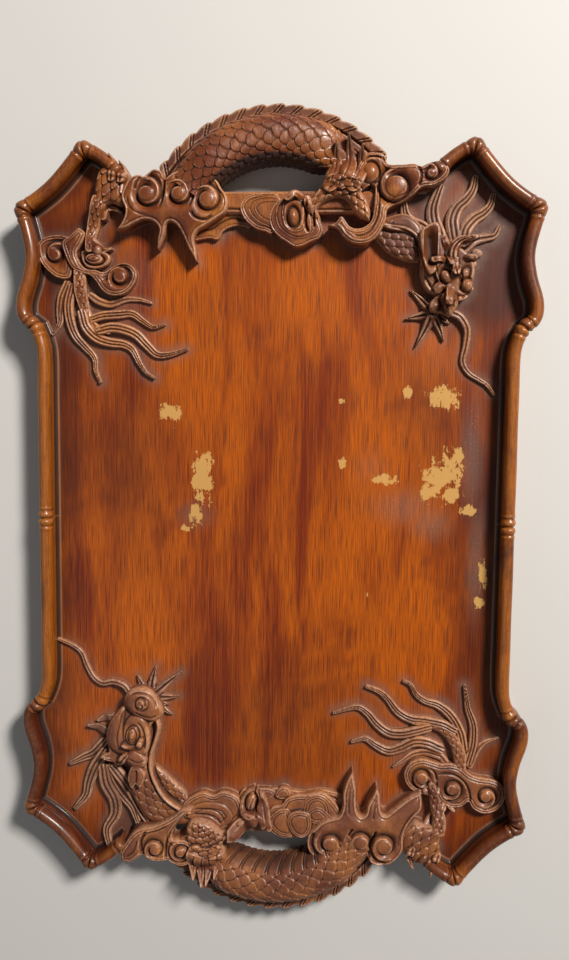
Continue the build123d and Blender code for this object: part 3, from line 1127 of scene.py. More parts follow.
@dataclass
class ShellCloud(Motif):
    """Nested shell-shaped cloud lobes beside the paw."""

    node: str = "shell_cloud"

    def cuts(self) -> list[Cut]:
        """Stacked lobes, each with lines along its edge."""
        ring, double = (1.5, 0.5, 0.9), (3.4, 0.5, 0.8)
        if self.end is End.REAR:
            return [
                Plate([(-27, 237), (-24, 242.5), (-18, 246), (-9, 246.5), (2, 245), (5, 232),
                       (-2, 217.5), (-8, 218.5), (-14, 220), (-20, 224),
                       (-25, 230)], 12.4, 1.6, 0.85, [ring, double]),
                Plate([(-21, 236), (-18, 241), (-11, 243.5), (2, 243), (5, 232), (-2, 221.5),
                       (-8, 222.5), (-14, 225.5), (-19, 230.5)], 13.3, 1.6, 0.88, [ring]),
                Plate([(-16, 235), (-13, 239.5), (-6, 241), (3, 240), (5, 232), (-1, 225),
                       (-7, 225.5), (-13, 229.5)], 14.1, 1.6, 0.9, [ring]),
            ]
        return [
            Plate([(-62, 238), (-56, 241), (-20, 252), (-8, 252.5), (0, 247), (3, 238), (-1, 229),
                   (-9, 226), (-13, 220.5), (-21, 217.5), (-28, 217), (-40, 214.5), (-48, 219),
                   (-55, 228)],
                  11.0, 1.6, 0.85, [ring, double]),
            Plate([(-16, 217.5), (-14, 213.5), (-9, 212.5), (-5, 215.5), (-4, 219.5), (-8, 222),
                   (-14, 221)],
                  9.0, 1.4, 0.8, [(1.4, 0.5, 0.8)]),
            Plate([(-4, 218), (0, 215), (6, 214.5), (12, 215.5), (14, 222), (4, 224)], 7.5, 1.4, 0.8,
                  [(1.4, 0.5, 0.8)]),
            Plate([(-50, 232), (-45, 236), (-36, 238), (-28, 236), (-25, 229), (-27, 221),
                   (-33, 216.5), (-40, 216),
                   (-47, 221)], 11.6, 1.6, 0.86, [ring, double, (5.6, 0.5, 0.7)]),
            Plate([(-49, 235), (-42, 239), (-33, 239), (-29, 232), (-34, 226.5),
                   (-41, 226.5)], 12.6, 1.6,
                  0.88, [ring, double]),
            Plate([(-18, 250), (-10, 251), (-3.5, 247.5), (0.5, 242), (0, 236), (-4, 231),
                   (-9, 228.5), (-15, 229),
                   (-18, 238)], 12.6, 1.8, 0.86, [ring, double], crown=0.8),
            Plate([(-32, 232), (-33, 241), (-30, 248.5), (-25, 251), (-19, 248.5), (-15, 243),
                   (-13.5, 237), (-16, 231.5), (-22, 229),
                   (-28, 229.5)], 14.2, 1.8, 0.86, [ring, double], crown=1.0),
            Plate([(23, 236), (27, 240.5), (32, 245), (37, 248), (41, 249.5), (46, 246), (52, 242.5),
                   (60, 241.5), (68, 240), (72, 234), (69, 227), (62, 221.5), (54, 218.5),
                   (46, 220.5), (39, 217.5), (32, 218.5), (26, 222),
                   (23, 229)], 10.5, 1.8, 0.84, [ring, double]),
            Plate([(30, 236), (33, 242.5), (40, 248), (46, 244.5), (52, 241), (60, 240.5),
                   (67, 238.5), (64, 231), (56, 226.5), (46, 225.5),
                   (36, 228)], 12.0, 1.8, 0.86, [(5.5, 0.6, 0.9)]),
            Groove([(39, 245), (42, 239), (48, 236), (56, 235.5), (64, 236)], 0.7, 1.1),
            Groove([(36, 243), (39, 236), (45, 232), (54, 231), (63, 232)], 0.7, 1.1),
        ]


@dataclass
class Paw(Motif):
    """The dragon's paw closed over a shell."""

    node: str = "paw"

    def cuts(self) -> list[Cut]:
        """Shell rings and toes."""
        ring = (1.5, 0.5, 1.0)
        if self.end is End.REAR:
            return [
                Plate([(-1, 239), (6, 243), (14, 245.5), (22, 245), (27, 238), (33, 226), (35, 219),
                       (32, 213.5), (26, 211), (20, 208), (14, 207.5), (8, 211), (2, 215),
                       (-3.5, 221.5), (-5, 230)],
                      14.8, 1.8, 0.86, [ring]),
                Plate([(1, 238), (7, 243), (15, 244), (24, 240), (28, 228), (28, 218), (22, 213.5),
                       (14, 213), (7, 216.5), (1.5, 222), (-0.5, 230)], 16.0, 1.8, 0.88, [ring]),
                Plate([(5, 237), (9, 241), (16, 242), (22, 238), (23, 227), (20, 219), (13, 217.5),
                       (7, 221.5), (4.5, 229)], 17.4, 1.8, 0.89, [ring]),
                Ball((13, 228.5), 4.2, 20.2, 6.0, 1.6, 4, 2.6),
                Lock([(9, 242), (14, 245.5), (19, 242.5), (20.5, 234), (20, 226),
                      (22.5, 218)], (5.0, 3.4),
                     (19.5, 13.0), 1, 0.0),
                Lock([(24, 240), (26, 233), (25, 226), (28, 219)], (6.0, 3.6), (19.0, 12.0), 1, 0.0),
                Lock([(28, 234), (31, 227), (31.5, 220), (29, 214)], (4.6, 2.6),
                      (16.0, 10.0), 1, 0.0),
                Groove([(22.8, 240), (22.6, 232), (22.4, 224), (25, 217)], 0.9, 4.0),
                Groove([(28.5, 236), (28.3, 228), (28.8, 221)], 0.8, 3.0),
            ]
        return [
            Plate([(-1, 243), (4, 250), (12, 251), (20, 250), (28, 249), (25, 238), (22, 228),
                   (19, 219.5), (12, 217), (6, 217.5), (2, 228)], 9.5, 1.6, 0.86),
            Lock([(1.5, 243), (3.5, 236), (5, 228), (8, 217.5)], (7.0, 2.6), (16.0, 12.0), 1, 0.0),
            Lock([(6, 241), (8.5, 233), (9.5, 225), (11, 217)], (6.5, 2.4), (17.0, 12.0), 1, 0.0),
            Lock([(10, 237), (15, 240), (22, 243.5), (30, 250)], (8.0, 12.0), (17.0, 19.0), 1, 0.0),
            Lock([(13, 235.5), (18, 235.5), (22, 233), (22.5, 226), (19, 219), (14, 216)], (4.6, 2.6),
                 (18.0, 11.0), 1, 0.0),
            Ball((15.5, 225), 4.2, 15.5, 5.0, 1.75, -14, 2.4),
            Groove([(13, 221), (15.5, 226), (16.5, 231)], 0.6, 1.0),
            Groove([(10.5, 236), (12, 230), (11, 222)], 0.8, 2.6),
        ]


@dataclass
class Foreleg(Motif):
    """Bent, scaled foreleg with spiked fur at the knee."""

    node: str = "foreleg"

    def cuts(self) -> list[Cut]:
        """Limb, scales and spikes."""
        if self.end is End.REAR:
            limb = [(22, 235.5), (24, 241), (30, 248), (35, 252.5), (38, 258), (46, 259), (54, 257.5),
                    (60, 252), (66, 243.5), (70, 234), (69.5, 226), (69.5, 226), (63, 229),
                    (57.5, 234), (53, 241), (47, 243.5), (40, 242), (33, 238), (27, 231)]
            spikes = [[(40, 252), (44, 264), (44, 281)], [(49, 254), (54, 267), (53, 287)],
                      [(57, 252), (62, 263), (63, 279)]]
            path = [(24, 236), (31, 243.5), (39, 249), (48, 250.5), (56, 247), (62, 239), (68, 228)]
        else:
            limb = [(20, 240), (23, 247), (29, 252), (36, 257), (39, 264), (45, 269), (54, 270),
                    (62, 266), (66.5, 258), (67, 248), (64, 242.5), (58, 240.5), (51, 241.5),
                    (44, 245.5), (38, 250), (31, 246), (25, 240)]
            spikes = [[(42, 264), (41, 274), (43, 284)], [(48, 267), (47.5, 278), (49.5, 290)],
                      [(53, 267), (54.5, 278), (53, 291)], [(59, 265), (61, 275), (59.5, 285)]]
            path = [(22, 242), (30, 248.5), (39, 256), (50, 257.5), (60, 254), (66, 246)]
        return [
            *[Lock(s, (12.0, 1.0), (20.0, 22.5), 1, 0.0) for s in spikes],
            *[Groove(s, 0.5, 1.0) for s in spikes],
            Plate(limb, 19.5, 4.0, 0.68),
            Scales(path, 9.0 if self.end is End.REAR else 12.0, 5.6, 2.6, 0.9, 1.5, 0.9),
        ]


@dataclass
class SideCloud(Motif):
    """Scroll cloud that wraps from below the knee up over the neck to the ear."""

    node: str = "side_cloud"

    def cuts(self) -> list[Cut]:
        """Stem, scrolls and eyes."""
        fine = [(1.5, 0.5, 0.9), (3.6, 0.5, 0.6)]
        if self.end is End.REAR:
            stem = [(39, 224.5), (46, 222.5), (51, 216.5), (58, 212), (67, 211.5), (74, 215),
                    (79, 222), (82, 229), (83, 236), (88, 240), (96, 243.5), (102, 247), (108, 252),
                    (117, 253.5), (125, 258.5), (127.5, 265), (122.5, 270.5), (114, 270.5),
                    (107, 267.5), (102, 269), (92, 268.5), (83, 269), (79, 276), (68, 277),
                    (62, 270), (60, 262), (64, 256), (73, 254), (73.5, 245), (73, 237), (71, 228),
                    (64, 223), (56, 224), (49.5, 231.5), (45, 227)]
            return [
                Plate(stem, 19.5, 3.0, 0.8, fine),
                Scroll((89, 252.5), 14.5, 105, 1, 1.12, 5.4, 0.56, 2.4),
                Scroll((114, 262), 9.0, 150, -1, 1.3, 3.2, 0.36, 1.0),
                Ball((70, 262.5), 6.2, 21.5, 5.0, 1.15, 0, 2.4),
                Groove([(63, 268), (68, 273.5), (77, 273.5), (82, 269)], 0.9, 2.2),
                Groove([(78, 252), (77, 240), (76, 231), (71, 221), (63, 217), (55, 219)], 0.8, 1.2),
                Groove([(104, 268), (107.5, 261), (105.5, 252)], 0.9, 2.4),
            ]
        stem = [(64, 236), (68, 240), (74, 247), (80, 256), (80, 262), (76, 262), (66, 264),
                (63, 272), (66, 281), (74, 284), (82, 281), (84, 279.5), (92, 280.5), (101, 279),
                (105, 276.5), (113, 282), (121, 281.5), (122.5, 274), (118, 266), (113, 259),
                (106, 254), (97, 252), (90, 249), (80, 243), (72, 236.5)]
        return [
            Plate(stem, 19.5, 3.0, 0.8, fine),
            Scroll((73.5, 272), 11.0, -60, 1, 1.8, 3.0, 0.34, 1.4),
            Scroll((94, 270.5), 11.0, 60, -1, 1.3, 3.4, 0.4, 1.2),
            Groove([(85, 281), (85.5, 270), (83, 259), (77, 250), (69, 241)], 1.0, 2.6),
            Groove([(105, 276), (105, 264), (101, 254)], 1.0, 2.4),
            Groove([(118, 278), (111, 272), (108, 262)], 0.8, 1.0),
            Groove([(84, 250), (92, 254), (100, 257), (104, 262)], 0.7, 1.2),
        ]


@dataclass
class Neck(Motif):
    """Scaled neck that comes out from under the cloud, with the ridge that runs to the nose."""

    node: str = "neck"

    def cuts(self) -> list[Cut]:
        """Scaled ground and the long ridge."""
        if self.end is End.REAR:
            return [
                Plate([(75, 227), (85, 232), (97, 234), (108, 226), (112, 212), (111, 200),
                       (104, 198), (94, 200), (84, 205), (76, 213), (70, 219)], 9.0, 5.0, 0.5),
                Scales([(78, 222), (88, 214), (98, 208), (108, 202)], 11.0, 6.0, 1.8, 0.8),
                Ridge([(77, 226), (86, 223), (96, 222), (104, 217.5), (108.5, 209.5), (110.5, 198),
                       (111, 187), (115, 178.5), (123, 173), (128, 166)], (7.0, 3.6), (13.5, 9.0)),
                Groove([(80, 224.5), (92, 222), (101, 218), (106, 210), (108.5, 198),
                        (109.5, 187)], 0.7, 1.2),
            ]
        return [
            Plate([(66, 239), (76, 246), (88, 252), (100, 248), (108, 238), (114, 224), (112, 214),
                   (104, 204), (99, 206), (96, 214), (90, 223), (80, 229),
                   (70, 234)], 10.0, 5.0, 0.5),
            Plate([(68, 236), (78, 232), (88, 225), (95, 213), (96, 203), (88, 208), (78, 217),
                   (70, 225)],
                  6.0, 4.0, 0.5),
            Scales([(74, 242), (88, 236), (98, 226), (106, 212)], 12.0, 6.5, 2.0, 0.8),
            Scales([(72, 230), (80, 223), (88, 214), (94, 205)], 7.0, 5.0, 1.6, 0.8),
            Ridge([(66, 238), (76, 234.5), (86, 227.5), (93, 217), (97.5, 205), (97.5, 193),
                   (93.5, 180), (91.5, 170), (94, 161)], (5.0, 4.0), (14.0, 9.0)),
            Groove([(70, 235), (80, 229), (88, 220), (94, 208), (95.5, 195), (92, 180),
                    (90, 170)], 0.7, 1.1),
        ]


@dataclass
class DragonHead(Motif):
    """Dragon's head seen from above and a little to one side."""

    node: str = "head"

    def cuts(self) -> list[Cut]:
        """Skull, brows, eyes, muzzle, ears and horn."""
        if self.end is End.REAR:
            return [
                Plate([(107, 219), (112, 224), (119, 226.5), (122.5, 222), (124.5, 213), (128, 208),
                       (131, 213), (136, 217), (143, 217.5), (148, 215), (142, 212), (138, 208),
                       (141, 203), (147, 197), (148.5, 188), (147, 180), (145, 175.5), (139, 171.5),
                       (136.5, 172), (136, 164), (131, 158), (125, 160), (117, 161.5), (116.5, 168),
                       (120, 173), (117, 181), (112, 189), (108.5, 199),
                       (107, 209)], 11.5, 1.8, 0.84),
                Plate([(107.5, 218.5), (112, 223.5), (119, 226), (122, 222), (123.5, 212),
                       (125.5, 203), (123, 196), (118, 189), (114, 189), (110.5, 198),
                       (108, 208)], 17.5, 2.4, 0.9),
                Groove([(116, 224), (114.5, 214), (116, 203), (116.5, 191)], 4.2, 6.5, fade=0.3),
                Plate([(119, 202), (125, 199), (131, 202), (137, 207.5), (143, 203.5), (148, 196),
                       (148, 186), (145.5, 177), (139, 172.5), (133, 174), (127, 177), (121.5, 184),
                       (118.5, 193)],
                      15.5, 2.4, 0.84),
                Lock([(125.5, 215), (128.5, 206), (131, 197)], (5.0, 4.6), (15, 18), 1, 0.0),
                Lock([(131, 198), (132.5, 207), (138, 213.5), (147.5, 215.5)], (6.5, 1.6),
                      (17, 15), 2, 1.6),
                Ball((127.4, 186.5), 3.4, 17.6, 2.8, 1.5, 34, 1.6),
                Ball((141, 188.5), 3.0, 17.2, 2.6, 1.5, -24, 1.4),
                Lock([(118, 199), (124.5, 199.5), (130.5, 195), (133.5, 189)], (4.6, 2.6),
                      (17.5, 18.5), 1, 0.0),
                Lock([(147.5, 200), (142.5, 199.5), (138, 195), (136, 189)], (4.4, 2.6),
                      (16.5, 18.5), 1, 0.0),
                Lock([(134.3, 198), (133.6, 188), (131.6, 178), (130.4, 169)], (4.4, 7.0),
                      (18, 18.5), 1, 0.0),
                Ball((142.6, 180.3), 4.4, 18.4, 5.0, 1.1, 0, 1.4),
                Ball((122, 178.5), 3.8, 15.5, 4.0, 1.3, -30, 1.2),
                Plate([(123.5, 171.5), (127, 176), (132, 176.5), (136.5, 173), (137, 166.5),
                       (134, 161), (130.5, 157.5), (126.5, 162)], 18.0, 4.5, 0.66, crown=1.0),
                Groove([(126.5, 169), (128.5, 166), (127.8, 162.5)], 0.7, 1.2),
                Groove([(134, 169.5), (132.8, 166.4), (133.6, 163.4)], 0.7, 1.2),
                Ball((119.5, 165.5), 5.0, 13.5, 5.0, 0.9, 30, 0.8),
                Lock([(136, 170.5), (141, 172.5), (146.8, 178)], (3.6, 2.0), (14.5, 12.5), 1, 0.0),
                Groove([(137.5, 176), (139, 184), (138, 193)], 0.7, 1.6),
                Groove([(125.5, 180), (122, 187), (119.5, 195)], 0.7, 1.4),
            ]
        return [
            Plate([(101, 205), (102, 212), (105, 218), (108.5, 215.5), (112, 219), (115, 212),
                   (114, 203), (117, 196), (120, 200), (124, 201), (128, 199), (134, 198),
                   (137, 194), (131.5, 191), (132.5, 184), (133, 176), (131, 167), (126.5, 160),
                   (121, 154), (118, 150), (118, 145), (114.5, 139.5), (108, 136.5), (102, 136.5),
                   (96, 139.5), (91, 146), (88, 152), (87.5, 159), (92.5, 163), (96.5, 167),
                   (98.5, 172), (97.5, 180), (99, 187), (101, 196)],
                  11.5, 1.8, 0.84),
            Plate([(116.5, 190.5), (121, 192), (127, 189), (132, 183.5), (132.8, 176), (130.5, 167),
                   (126, 160), (121, 153.5), (117, 152.5), (117.5, 158), (119, 166), (118, 175),
                   (116, 183)],
                  14.5, 3.6, 0.74, crown=1.4),
            Groove([(121.5, 189), (123.4, 178), (121, 165), (118.6, 156)], 0.7, 1.1),
            Plate([(101, 206), (102, 212), (105, 218), (108.5, 215), (112, 219), (115, 211),
                   (113.5, 203), (111, 199.5), (105, 200.5)], 16.5, 2.4, 0.82, [(1.8, 0.5, 0.7)]),
            Groove([(108.3, 214), (107.8, 207), (108.2, 202)], 0.8, 1.6),
            Plate([(101, 200), (106, 202), (112, 200.5), (117, 195.5), (115.5, 190), (110, 186.5),
                   (103.5, 189.5), (100, 195)], 15.8, 3.0, 0.78, crown=0.8),
            Groove([(101, 194.5), (107, 196.5), (114.5, 193.5)], 0.6, 0.9),
            Plate([(99.5, 189), (105, 191), (111, 188), (117, 184.5), (119, 176), (118, 167),
                   (113.5, 160), (106, 159), (100.5, 163), (98, 171),
                   (97.5, 180)], 15.0, 2.8, 0.8, crown=0.6),
            Groove([(101.5, 187), (101, 178), (103, 169), (108, 163)], 0.8, 1.4),
            Lock([(103.5, 178), (106, 184), (112, 186), (117.5, 182.5)], (4.4, 3.4),
                  (17.5, 17.0), 1, 0.0),
            Ball((111, 174.5), 5.0, 17.6, 3.0, 1.45, -14, 1.2),
            Groove([(107.6, 173), (108.8, 179), (112.4, 180.4), (114.6, 176.6), (113.4, 170.4),
                    (110, 168.6)], 0.55, 1.4, True),
            Ball((111, 174.5), 2.2, 18.6, 1.8, 1.4, -14),
            Plate([(88.5, 159), (93, 163.5), (99, 163.5), (106, 161), (113, 157.5), (118, 151),
                   (118, 145), (114.5, 139.5), (108, 136.5), (102, 136.5), (96, 139.5), (91, 146),
                   (88, 152)],
                  15.5, 5.0, 0.66, crown=1.4),
            Ball((103.5, 148.5), 5.4, 19.4, 4.6, 0.95, 0, 0.7),
            Groove([(100, 150.5), (100.6, 145.4), (104.6, 143.4), (108, 146.4), (107, 151),
                    (103.4, 152), (102, 149.4), (104, 147.6)], 0.6, 1.5, fade=0.05),
            Groove([(91.5, 153), (93.5, 146), (99, 141), (107, 139.8), (114, 143)], 0.7, 1.2),
            Groove([(90.5, 157), (96, 159.6), (103, 158.4), (110, 155)], 0.8, 1.2),
            Lock([(117, 192.5), (122, 198), (128, 197.5), (136, 194.5)], (6.5, 2.5),
                  (16, 12), 2, 1.4),
        ]


@dataclass
class Mane(Motif):
    """Locks of the mane, swept back from the head."""

    node: str = "mane"

    def cuts(self) -> list[Cut]:
        """Five or six locks."""
        if self.end is End.REAR:
            return [
                Lock([(114, 219), (108, 223), (101, 226.5), (96, 232), (94.5, 240)], (8, 5),
                      (5, 4), 3),
                Lock([(125, 208), (121, 218), (117.5, 227), (116.5, 236), (118.5, 244), (121, 251)],
                     (9, 6.5), (5, 4), 3),
                Lock([(134, 209), (132, 218), (131, 228), (134.5, 237), (141, 243), (145.5, 250),
                      (147, 258)], (9.5, 5), (5, 4), 3),
                Lock([(139, 211), (141, 221), (147, 228.5), (154, 233), (158.5, 238), (160.5, 245)],
                     (9, 4.5), (5, 3.5), 3),
                Lock([(141, 207), (148, 213), (156, 215), (162.5, 216.5), (166, 223)], (7, 3.0),
                      (5, 3), 2),
                Ball((150, 203.5), 4.2, 4.5, 3.0, 0.8, -10, adds=True),
                Ball((147.5, 195.5), 2.8, 4.0, 2.5, adds=True),
                Lock([(139, 210), (144, 214), (149, 215.5)], (6, 3), (9.5, 6), 1, 0.0),
            ]
        return [
            Lock([(126, 203), (118, 213), (110, 226), (103, 239), (94, 251)], (9, 6), (6, 6), 3),
            Lock([(130, 203), (127, 214), (120, 226), (112, 236), (108, 246)], (8, 5), (5, 4), 3),
            Lock([(135, 204), (133, 216), (127, 229), (126.5, 242), (133, 254), (132.5, 263),
                  (130, 272)],
                 (10, 4.5), (5.5, 4), 3),
            Lock([(135, 190), (143, 203), (148, 216), (150.5, 227), (158.5, 237)], (9, 4.5),
                  (5.5, 4), 3),
            Lock([(135, 181), (144, 191), (153, 195.5), (162, 200)], (8, 4), (5, 3.5), 3),
            Lock([(132, 172), (140, 169), (147, 168)], (5.5, 3.0), (5, 4), 1, 0.0),
            Lock([(128, 160), (135, 161.5), (139, 163)], (5.0, 3.0), (4.5, 4), 1, 0.0),
        ]


@dataclass
class Whiskers(Motif):
    """Long curling whisker."""

    node: str = "whisker"

    def cuts(self) -> list[Cut]:
        """One or two tapering cords."""
        if self.end is End.REAR:
            path = [(131, 161), (139, 157), (144.5, 148), (144, 136), (142, 124), (146.5, 115.5),
                    (155, 110), (161, 106), (166, 99.5)]
            return [
                Lock(path, (6.0, 2.4), (5.0, 2.6), 2, 1.0, 0.0),
                Lock([(134, 173), (139, 171.5), (144, 177)], (3.0, 2.0), (6.0, 4.0), 1, 0.0),
            ]
        path = [(112, 143), (118, 134.5), (127, 131.5), (136, 133), (143.5, 128.5), (149, 119),
                (153, 109), (160, 103), (172, 98)]
        return [Lock(path, (5.0, 2.6), (5.5, 2.8), 2, 1.0, 0.1)]


@dataclass
class BeardFlame(Motif):
    """Star of flame points under the chin, cut to ridged leaves."""

    node: str = "beard_flame"
    stain: float = 0.4

    def cuts(self) -> list[Cut]:
        """Flame points round a hub."""
        if self.end is End.REAR:
            hub, width = (118, 159), 8.0
            tips = [(101.5, 177), (98, 155.5), (106, 134.5), (127, 139), (112, 173), (131, 152)]
        else:
            hub, width = (97, 143), 9.0
            tips = [(80, 158), (75, 143), (73, 123), (93, 118.5), (108, 126.5), (83, 150)]
        rays = []
        for tip in tips:
            middle = ((hub[0] + tip[0]) / 2 + 1.0, (hub[1] + tip[1]) / 2 + 0.5)
            rays.append(Lock([hub, middle, tip], (width, 1.0), (6.5, 3.0), 2, 1.6, 0.1))
        return rays


@dataclass
class Haunch(Motif):
    """Scaled hind part of the dragon between the ear and the ruyi cloud."""

    node: str = "haunch"

    def cuts(self) -> list[Cut]:
        """Scaled swelling with two leaf-shaped fins."""
        if self.end is End.REAR:
            body = [(-136, 262), (-131, 268), (-124, 271), (-116, 267), (-112, 262), (-113, 252),
                    (-113, 244), (-118, 239), (-125, 241), (-131, 239), (-137, 240), (-138, 251)]
            fins = [[(-124, 259), (-123, 267), (-125, 275)], [(-117, 258), (-116, 264),
                     (-117, 269.5)]]
            path = [(-120, 270), (-125, 256), (-133, 240)]
        else:
            body = [(-133, 266), (-129, 274), (-120, 272.5), (-111, 268), (-105.5, 262), (-104, 252),
                    (-107, 243), (-114, 237), (-122, 239), (-128, 239), (-135, 238), (-134, 252)]
            fins = [[(-132, 262), (-129, 270), (-127, 277)], [(-112, 258), (-110, 265), (-113, 271)]]
            path = [(-112, 270), (-119, 256), (-130, 240)]
        return [
            Plate(body, 16.0, 7.0, 0.6),
            Scales(path, 17.0, 7.5, 2.6, 1.0),
            *[Lock(f, (7.0, 1.5), (17.0, 17.0), 2, 1.4) for f in fins],
        ]


@dataclass
class TailLeg(Motif):
    """Thin scaled leg with its claws."""

    node: str = "tail_leg"

    def cuts(self) -> list[Cut]:
        """Leg, claws and knuckle boss."""
        if self.end is End.REAR:
            leg = [(-134, 243), (-137, 234), (-140, 226), (-142, 217), (-143, 208)]
            toes = [[(-141, 215), (-137, 210), (-133, 207), (-127, 208)], [(-143, 215), (-140, 208),
                     (-136, 203)],
                    [(-132, 231), (-130, 238), (-124, 238), (-119, 235)]]
            boss = Ball((-137.5, 206.5), 3.6, 11.5, 3.0, adds=True)
        else:
            leg = [(-132, 243), (-133, 234), (-131, 226), (-129, 217), (-127, 208)]
            toes = [[(-134, 228), (-139, 223), (-145, 228)], [(-129, 214), (-126, 207), (-122, 200)],
                    [(-130, 214), (-131, 208), (-129, 203)], [(-121, 243), (-126, 236),
                     (-129.5, 227)]]
            boss = Ball((-122.5, 213.5), 3.2, 9.0, 3.0, adds=True)
        return [
            Lock(leg, (11.0, 6.0), (13.0, 9.0), 1, 0.0, 0.0),
            Scales(leg, 5.0, 4.4, 2.0, 0.8),
            *[Lock(t, (4.6, 2.0), (9.5, 7.0), 1, 0.0) for t in toes],
            boss,
        ]


@dataclass
class TailCloud(Motif):
    """Flowing cloud with scrolls, laid over the tail."""

    node: str = "tail_cloud"

    def cuts(self) -> list[Cut]:
        """Back scroll, wave ribbon and round scroll."""
        fine = [(1.5, 0.5, 0.9), (3.6, 0.5, 0.7)]
        if self.end is End.REAR:
            return [
                Plate([(-185, 210), (-181, 215.5), (-174, 218), (-165, 218), (-158, 214), (-157, 200),
                       (-160, 186.5), (-169, 186), (-176.5, 191), (-183, 199)], 7.0, 1.8, 0.8, fine),
                Scroll((-170.5, 204), 11.5, 30, 1, 1.3, 3.6, 0.36, 0.8),
                Plate([(-152, 223.5), (-152, 223.5), (-158, 218), (-164.5, 212.5), (-162, 202),
                       (-157, 193), (-150, 189.5), (-143, 187.5), (-138.5, 183), (-134, 176.5),
                       (-127, 172.5), (-117, 173.5), (-110, 180), (-107, 188), (-111, 195),
                       (-119, 197), (-127, 194), (-133, 190), (-138.5, 191.5), (-146, 192.5),
                       (-151, 197), (-153.5, 205), (-149, 213),
                       (-147, 219.5)], 9.5, 1.8, 0.82, fine, crown=0.8),
                Plate([(-150, 206), (-143, 208), (-134, 206.5), (-128, 202), (-130, 196), (-138, 193),
                       (-146, 194), (-150, 200)], 7.0, 1.4, 0.8),
                Ball((-140, 200), 7.0, 11.0, 4.0, 0.6, -6, 1.8),
                Groove([(-145, 200), (-140, 202.6), (-135, 200), (-140, 197.6)], 0.5, 0.9, True),
                Scroll((-120, 186.5), 11.0, 205, -1, 1.2, 4.2, 0.46, 1.6),
            ]
        outline = [(-185, 212), (-183, 221), (-177, 227.5), (-168, 229.5), (-160, 226), (-156, 220.5),
                   (-151, 224.5), (-142, 225.5), (-134, 221), (-130.5, 215), (-126, 216.5),
                   (-118, 215.5), (-111, 212), (-106.5, 206), (-105.5, 198), (-110, 190.5),
                   (-119, 187), (-128, 189), (-134, 190.5), (-142, 190), (-150, 192.5), (-157, 198),
                   (-164, 200.5), (-173, 201.5), (-181, 205)]
        return [
            Plate(outline, 8.5, 1.6, 0.84, [(1.5, 0.5, 1.0), (3.6, 0.5, 0.9)]),
            Scroll((-169.5, 216), 10.0, 100, 1, 1.25, 3.4, 0.44, 1.4),
            Scroll((-143, 211), 10.2, 60, 1, 1.25, 3.6, 0.46, 1.6),
            Scroll((-119.5, 202.5), 10.2, 130, -1, 1.2, 3.6, 0.48, 1.8),
            Groove([(-158, 224), (-157, 214), (-153, 205), (-145, 199), (-136, 198),
                    (-130, 200)], 0.8, 1.8),
            Groove([(-131.5, 215), (-131, 206), (-129.5, 198), (-124, 193.5)], 0.8, 1.8),
        ]


@dataclass
class TailTip(Motif):
    """End of the scaled tail, coming out from under the cloud."""

    node: str = "tail_tip"

    def cuts(self) -> list[Cut]:
        """Tapering scaled cord."""
        if self.end is End.REAR:
            path = [(-152.5, 190), (-151.5, 178), (-149.5, 166), (-146, 156), (-140, 149),
                    (-130, 144.5)]
        else:
            path = [(-150, 192), (-148, 182), (-144, 173), (-137, 165.5), (-128, 161.5),
                    (-112, 159.5)]
        return [Lock(path, (10.5, 2.5), (7.5, 4.0), 1, 0.0, 0.0), Scales(path, 5.2, 4.2, 1.6, 0.8)]


@dataclass
class TailTufts(Motif):
    """Flowing locks that spread from the tail."""

    node: str = "tail_tuft"

    def cuts(self) -> list[Cut]:
        """Six or seven locks."""
        if self.end is End.REAR:
            return [
                Lock([(-142, 172), (-136, 168), (-127, 166), (-116, 169.5), (-105, 169.5),
                      (-95.5, 167)],
                     (5.5, 2.0), (4, 2.5), 2, 0.9),
                Lock([(-140, 155), (-133, 157), (-121.5, 158), (-110.5, 158.5), (-102, 153),
                      (-94, 148.5), (-85, 150.5)], (6.5, 2.2), (5, 3), 3),
                Lock([(-135, 146), (-126, 148), (-116, 146.5), (-107, 142.5), (-99, 134.5),
                      (-91, 127.5), (-81, 127.5), (-68, 131.5)], (7.5, 3.0), (5.5, 3), 3),
                Lock([(-149, 158), (-146, 148), (-138, 140), (-128, 136.5), (-117, 135),
                      (-110, 130.5), (-105, 121), (-99.5, 113.5), (-93.5, 109.5)], (7.5, 2.2),
                      (5.5, 3), 3),
                Lock([(-157, 178), (-160, 165), (-159, 152), (-155, 141), (-148, 133),
                      (-140.5, 124.5), (-139.5, 115), (-136, 106)], (7.0, 2.5), (5, 3), 3),
                Lock([(-161, 180), (-165.5, 170), (-167.5, 160), (-168, 151),
                      (-173, 143)], (7.5, 2.5),
                     (4.5, 2.5), 3),
            ]
        return [
            Lock([(-137, 188), (-133, 184), (-122, 181.5), (-112, 183.5), (-104, 189), (-97, 194)],
                 (6.0, 2.0), (4, 2.5), 2, 0.9),
            Lock([(-132, 177), (-122, 173), (-112, 173), (-102, 178.5), (-92, 181.5), (-82, 177),
                  (-74, 172), (-64, 174.5)], (8.5, 3.0), (5, 3), 3),
            Lock([(-122, 161), (-112, 164), (-102, 166.5), (-92, 166), (-83, 160), (-75, 151),
                  (-66, 146.5), (-49, 151.5)], (7.5, 2.5), (5.5, 3), 3),
            Lock([(-143, 162), (-134, 157.5), (-122, 155.5), (-109, 154.5), (-99, 149), (-91, 139),
                  (-84, 133), (-74.5, 129.5)], (7.0, 3.0), (5.5, 3), 3),
            Lock([(-151, 176), (-148, 163), (-141, 151), (-131, 143), (-120, 139.5), (-113, 134),
                  (-109, 127), (-103.5, 124)], (7.0, 2.5), (5.5, 3), 3),
            Lock([(-155, 187), (-158.5, 172), (-158.5, 158), (-154, 145), (-152.5, 136), (-151, 127)],
                 (6.5, 2.5), (5, 3), 3),
            Lock([(-157, 190), (-161, 180), (-168, 172), (-178, 168)], (5.0, 1.8), (3.5, 2), 2, 0.8),
        ]


